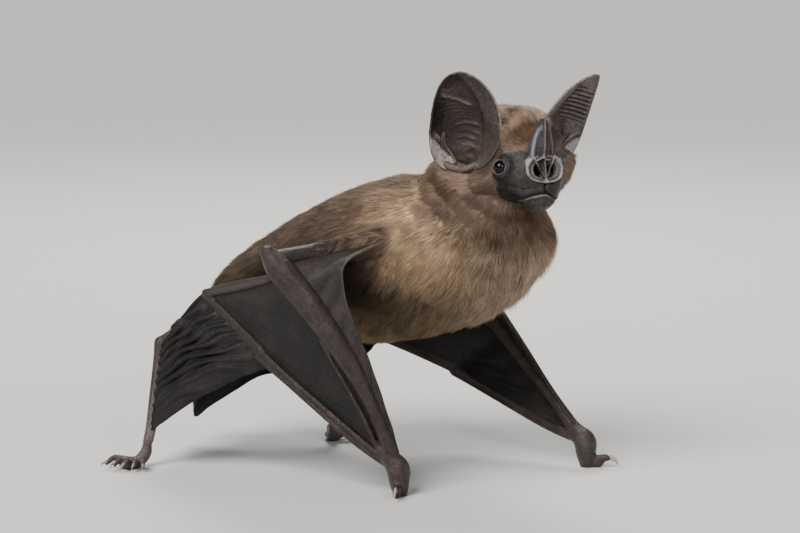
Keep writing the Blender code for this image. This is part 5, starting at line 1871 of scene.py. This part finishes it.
class BAT_OT_eyes(bpy.types.Operator):
    """Make both eyes"""
    bl_idname = "bat.eyes"
    bl_label = "Eyes"

    def execute(self, context):
        finish = eye_finish()
        for out, side in ((-1, "right"), (1, "left")):
            hold(put_mesh(f"eyeball_{side}", eye_shell(out)), [f"eye_{side}"], finish)
        return {"FINISHED"}


class BAT_OT_claws(bpy.types.Operator):
    """Make the claws of the thumbs and toes"""
    bl_idname = "bat.claws"
    bl_label = "Claws"

    def execute(self, context):
        finish = claw_finish()
        for side in SIDES:
            shell = joined(claw_shells(side))
            piece = put_mesh(f"claws_{side.name}", shell)
            tone = mottled((0.20, 0.17, 0.155), (0.34, 0.30, 0.28), shell[0], 0.5, (0.5, 1.0, 81))
            paint(piece, dyed(context, "claws", tone))
            hold(piece, [f"thumb_claw_{side.name}"], finish)
        return {"FINISHED"}


class BAT_OT_coat(bpy.types.Operator):
    """Grow the coat: tufts over the body and head, in pieces that are each one region"""
    bl_idname = "bat.coat"
    bl_label = "Coat"

    def execute(self, context):
        sizes = context.scene.bat_sizes
        *fields, rng = coat_tufts(sizes.coat_length, sizes.hair_width, sizes.tufts)
        finish = coat_finish()
        bounds = np.linspace(0, len(fields[0]), PIECES + 1).astype(int)
        for number, (start, stop) in enumerate(zip(bounds[:-1], bounds[1:])):
            shell, tone, uv = grow(*(field[start:stop] for field in fields), rng)
            piece = put_mesh(f"coat_{number + 1}", shell)
            paint(piece, dyed(context, "coat", tone))
            loops = np.empty(len(piece.data.loops), np.int32)
            piece.data.loops.foreach_get("vertex_index", loops)
            layer = piece.data.uv_layers.new(name="OFBake")
            layer.data.foreach_set("uv", uv[loops].astype(np.float32).ravel())
            hold(piece, (), finish)
        return {"FINISHED"}


class BAT_OT_stage(bpy.types.Operator):
    """Make the floor, the soft light and the camera"""
    bl_idname = "bat.stage"
    bl_label = "Stage"

    def execute(self, context):
        make_stage()
        return {"FINISHED"}


class BAT_PT_panel(bpy.types.Panel):
    bl_idname = "BAT_PT_panel"
    bl_label = "Leaf-nosed Bat"
    bl_space_type = "VIEW_3D"
    bl_region_type = "UI"
    bl_category = "Bat"

    def draw(self, context):
        layout = self.layout
        for group in (context.scene.bat_sizes, context.scene.bat_colours):
            for name in type(group).__annotations__:
                layout.prop(group, name)
        for maker in MAKERS:
            layout.operator(maker.bl_idname)


MAKERS = (BAT_OT_stage, BAT_OT_skin, BAT_OT_eyes, BAT_OT_claws, BAT_OT_coat)
CLASSES = (BatSizes, BatColours, *MAKERS, BAT_PT_panel)


def register():
    for cls in CLASSES:
        bpy.utils.register_class(cls)
    bpy.types.Scene.bat_sizes = bpy.props.PointerProperty(type=BatSizes)
    bpy.types.Scene.bat_colours = bpy.props.PointerProperty(type=BatColours)


def unregister():
    del bpy.types.Scene.bat_sizes, bpy.types.Scene.bat_colours
    for cls in reversed(CLASSES):
        bpy.utils.unregister_class(cls)


def main():
    register()
    for maker in MAKERS:
        area, name = maker.bl_idname.split(".")
        getattr(getattr(bpy.ops, area), name)()


if __name__ == "__main__":
    main()
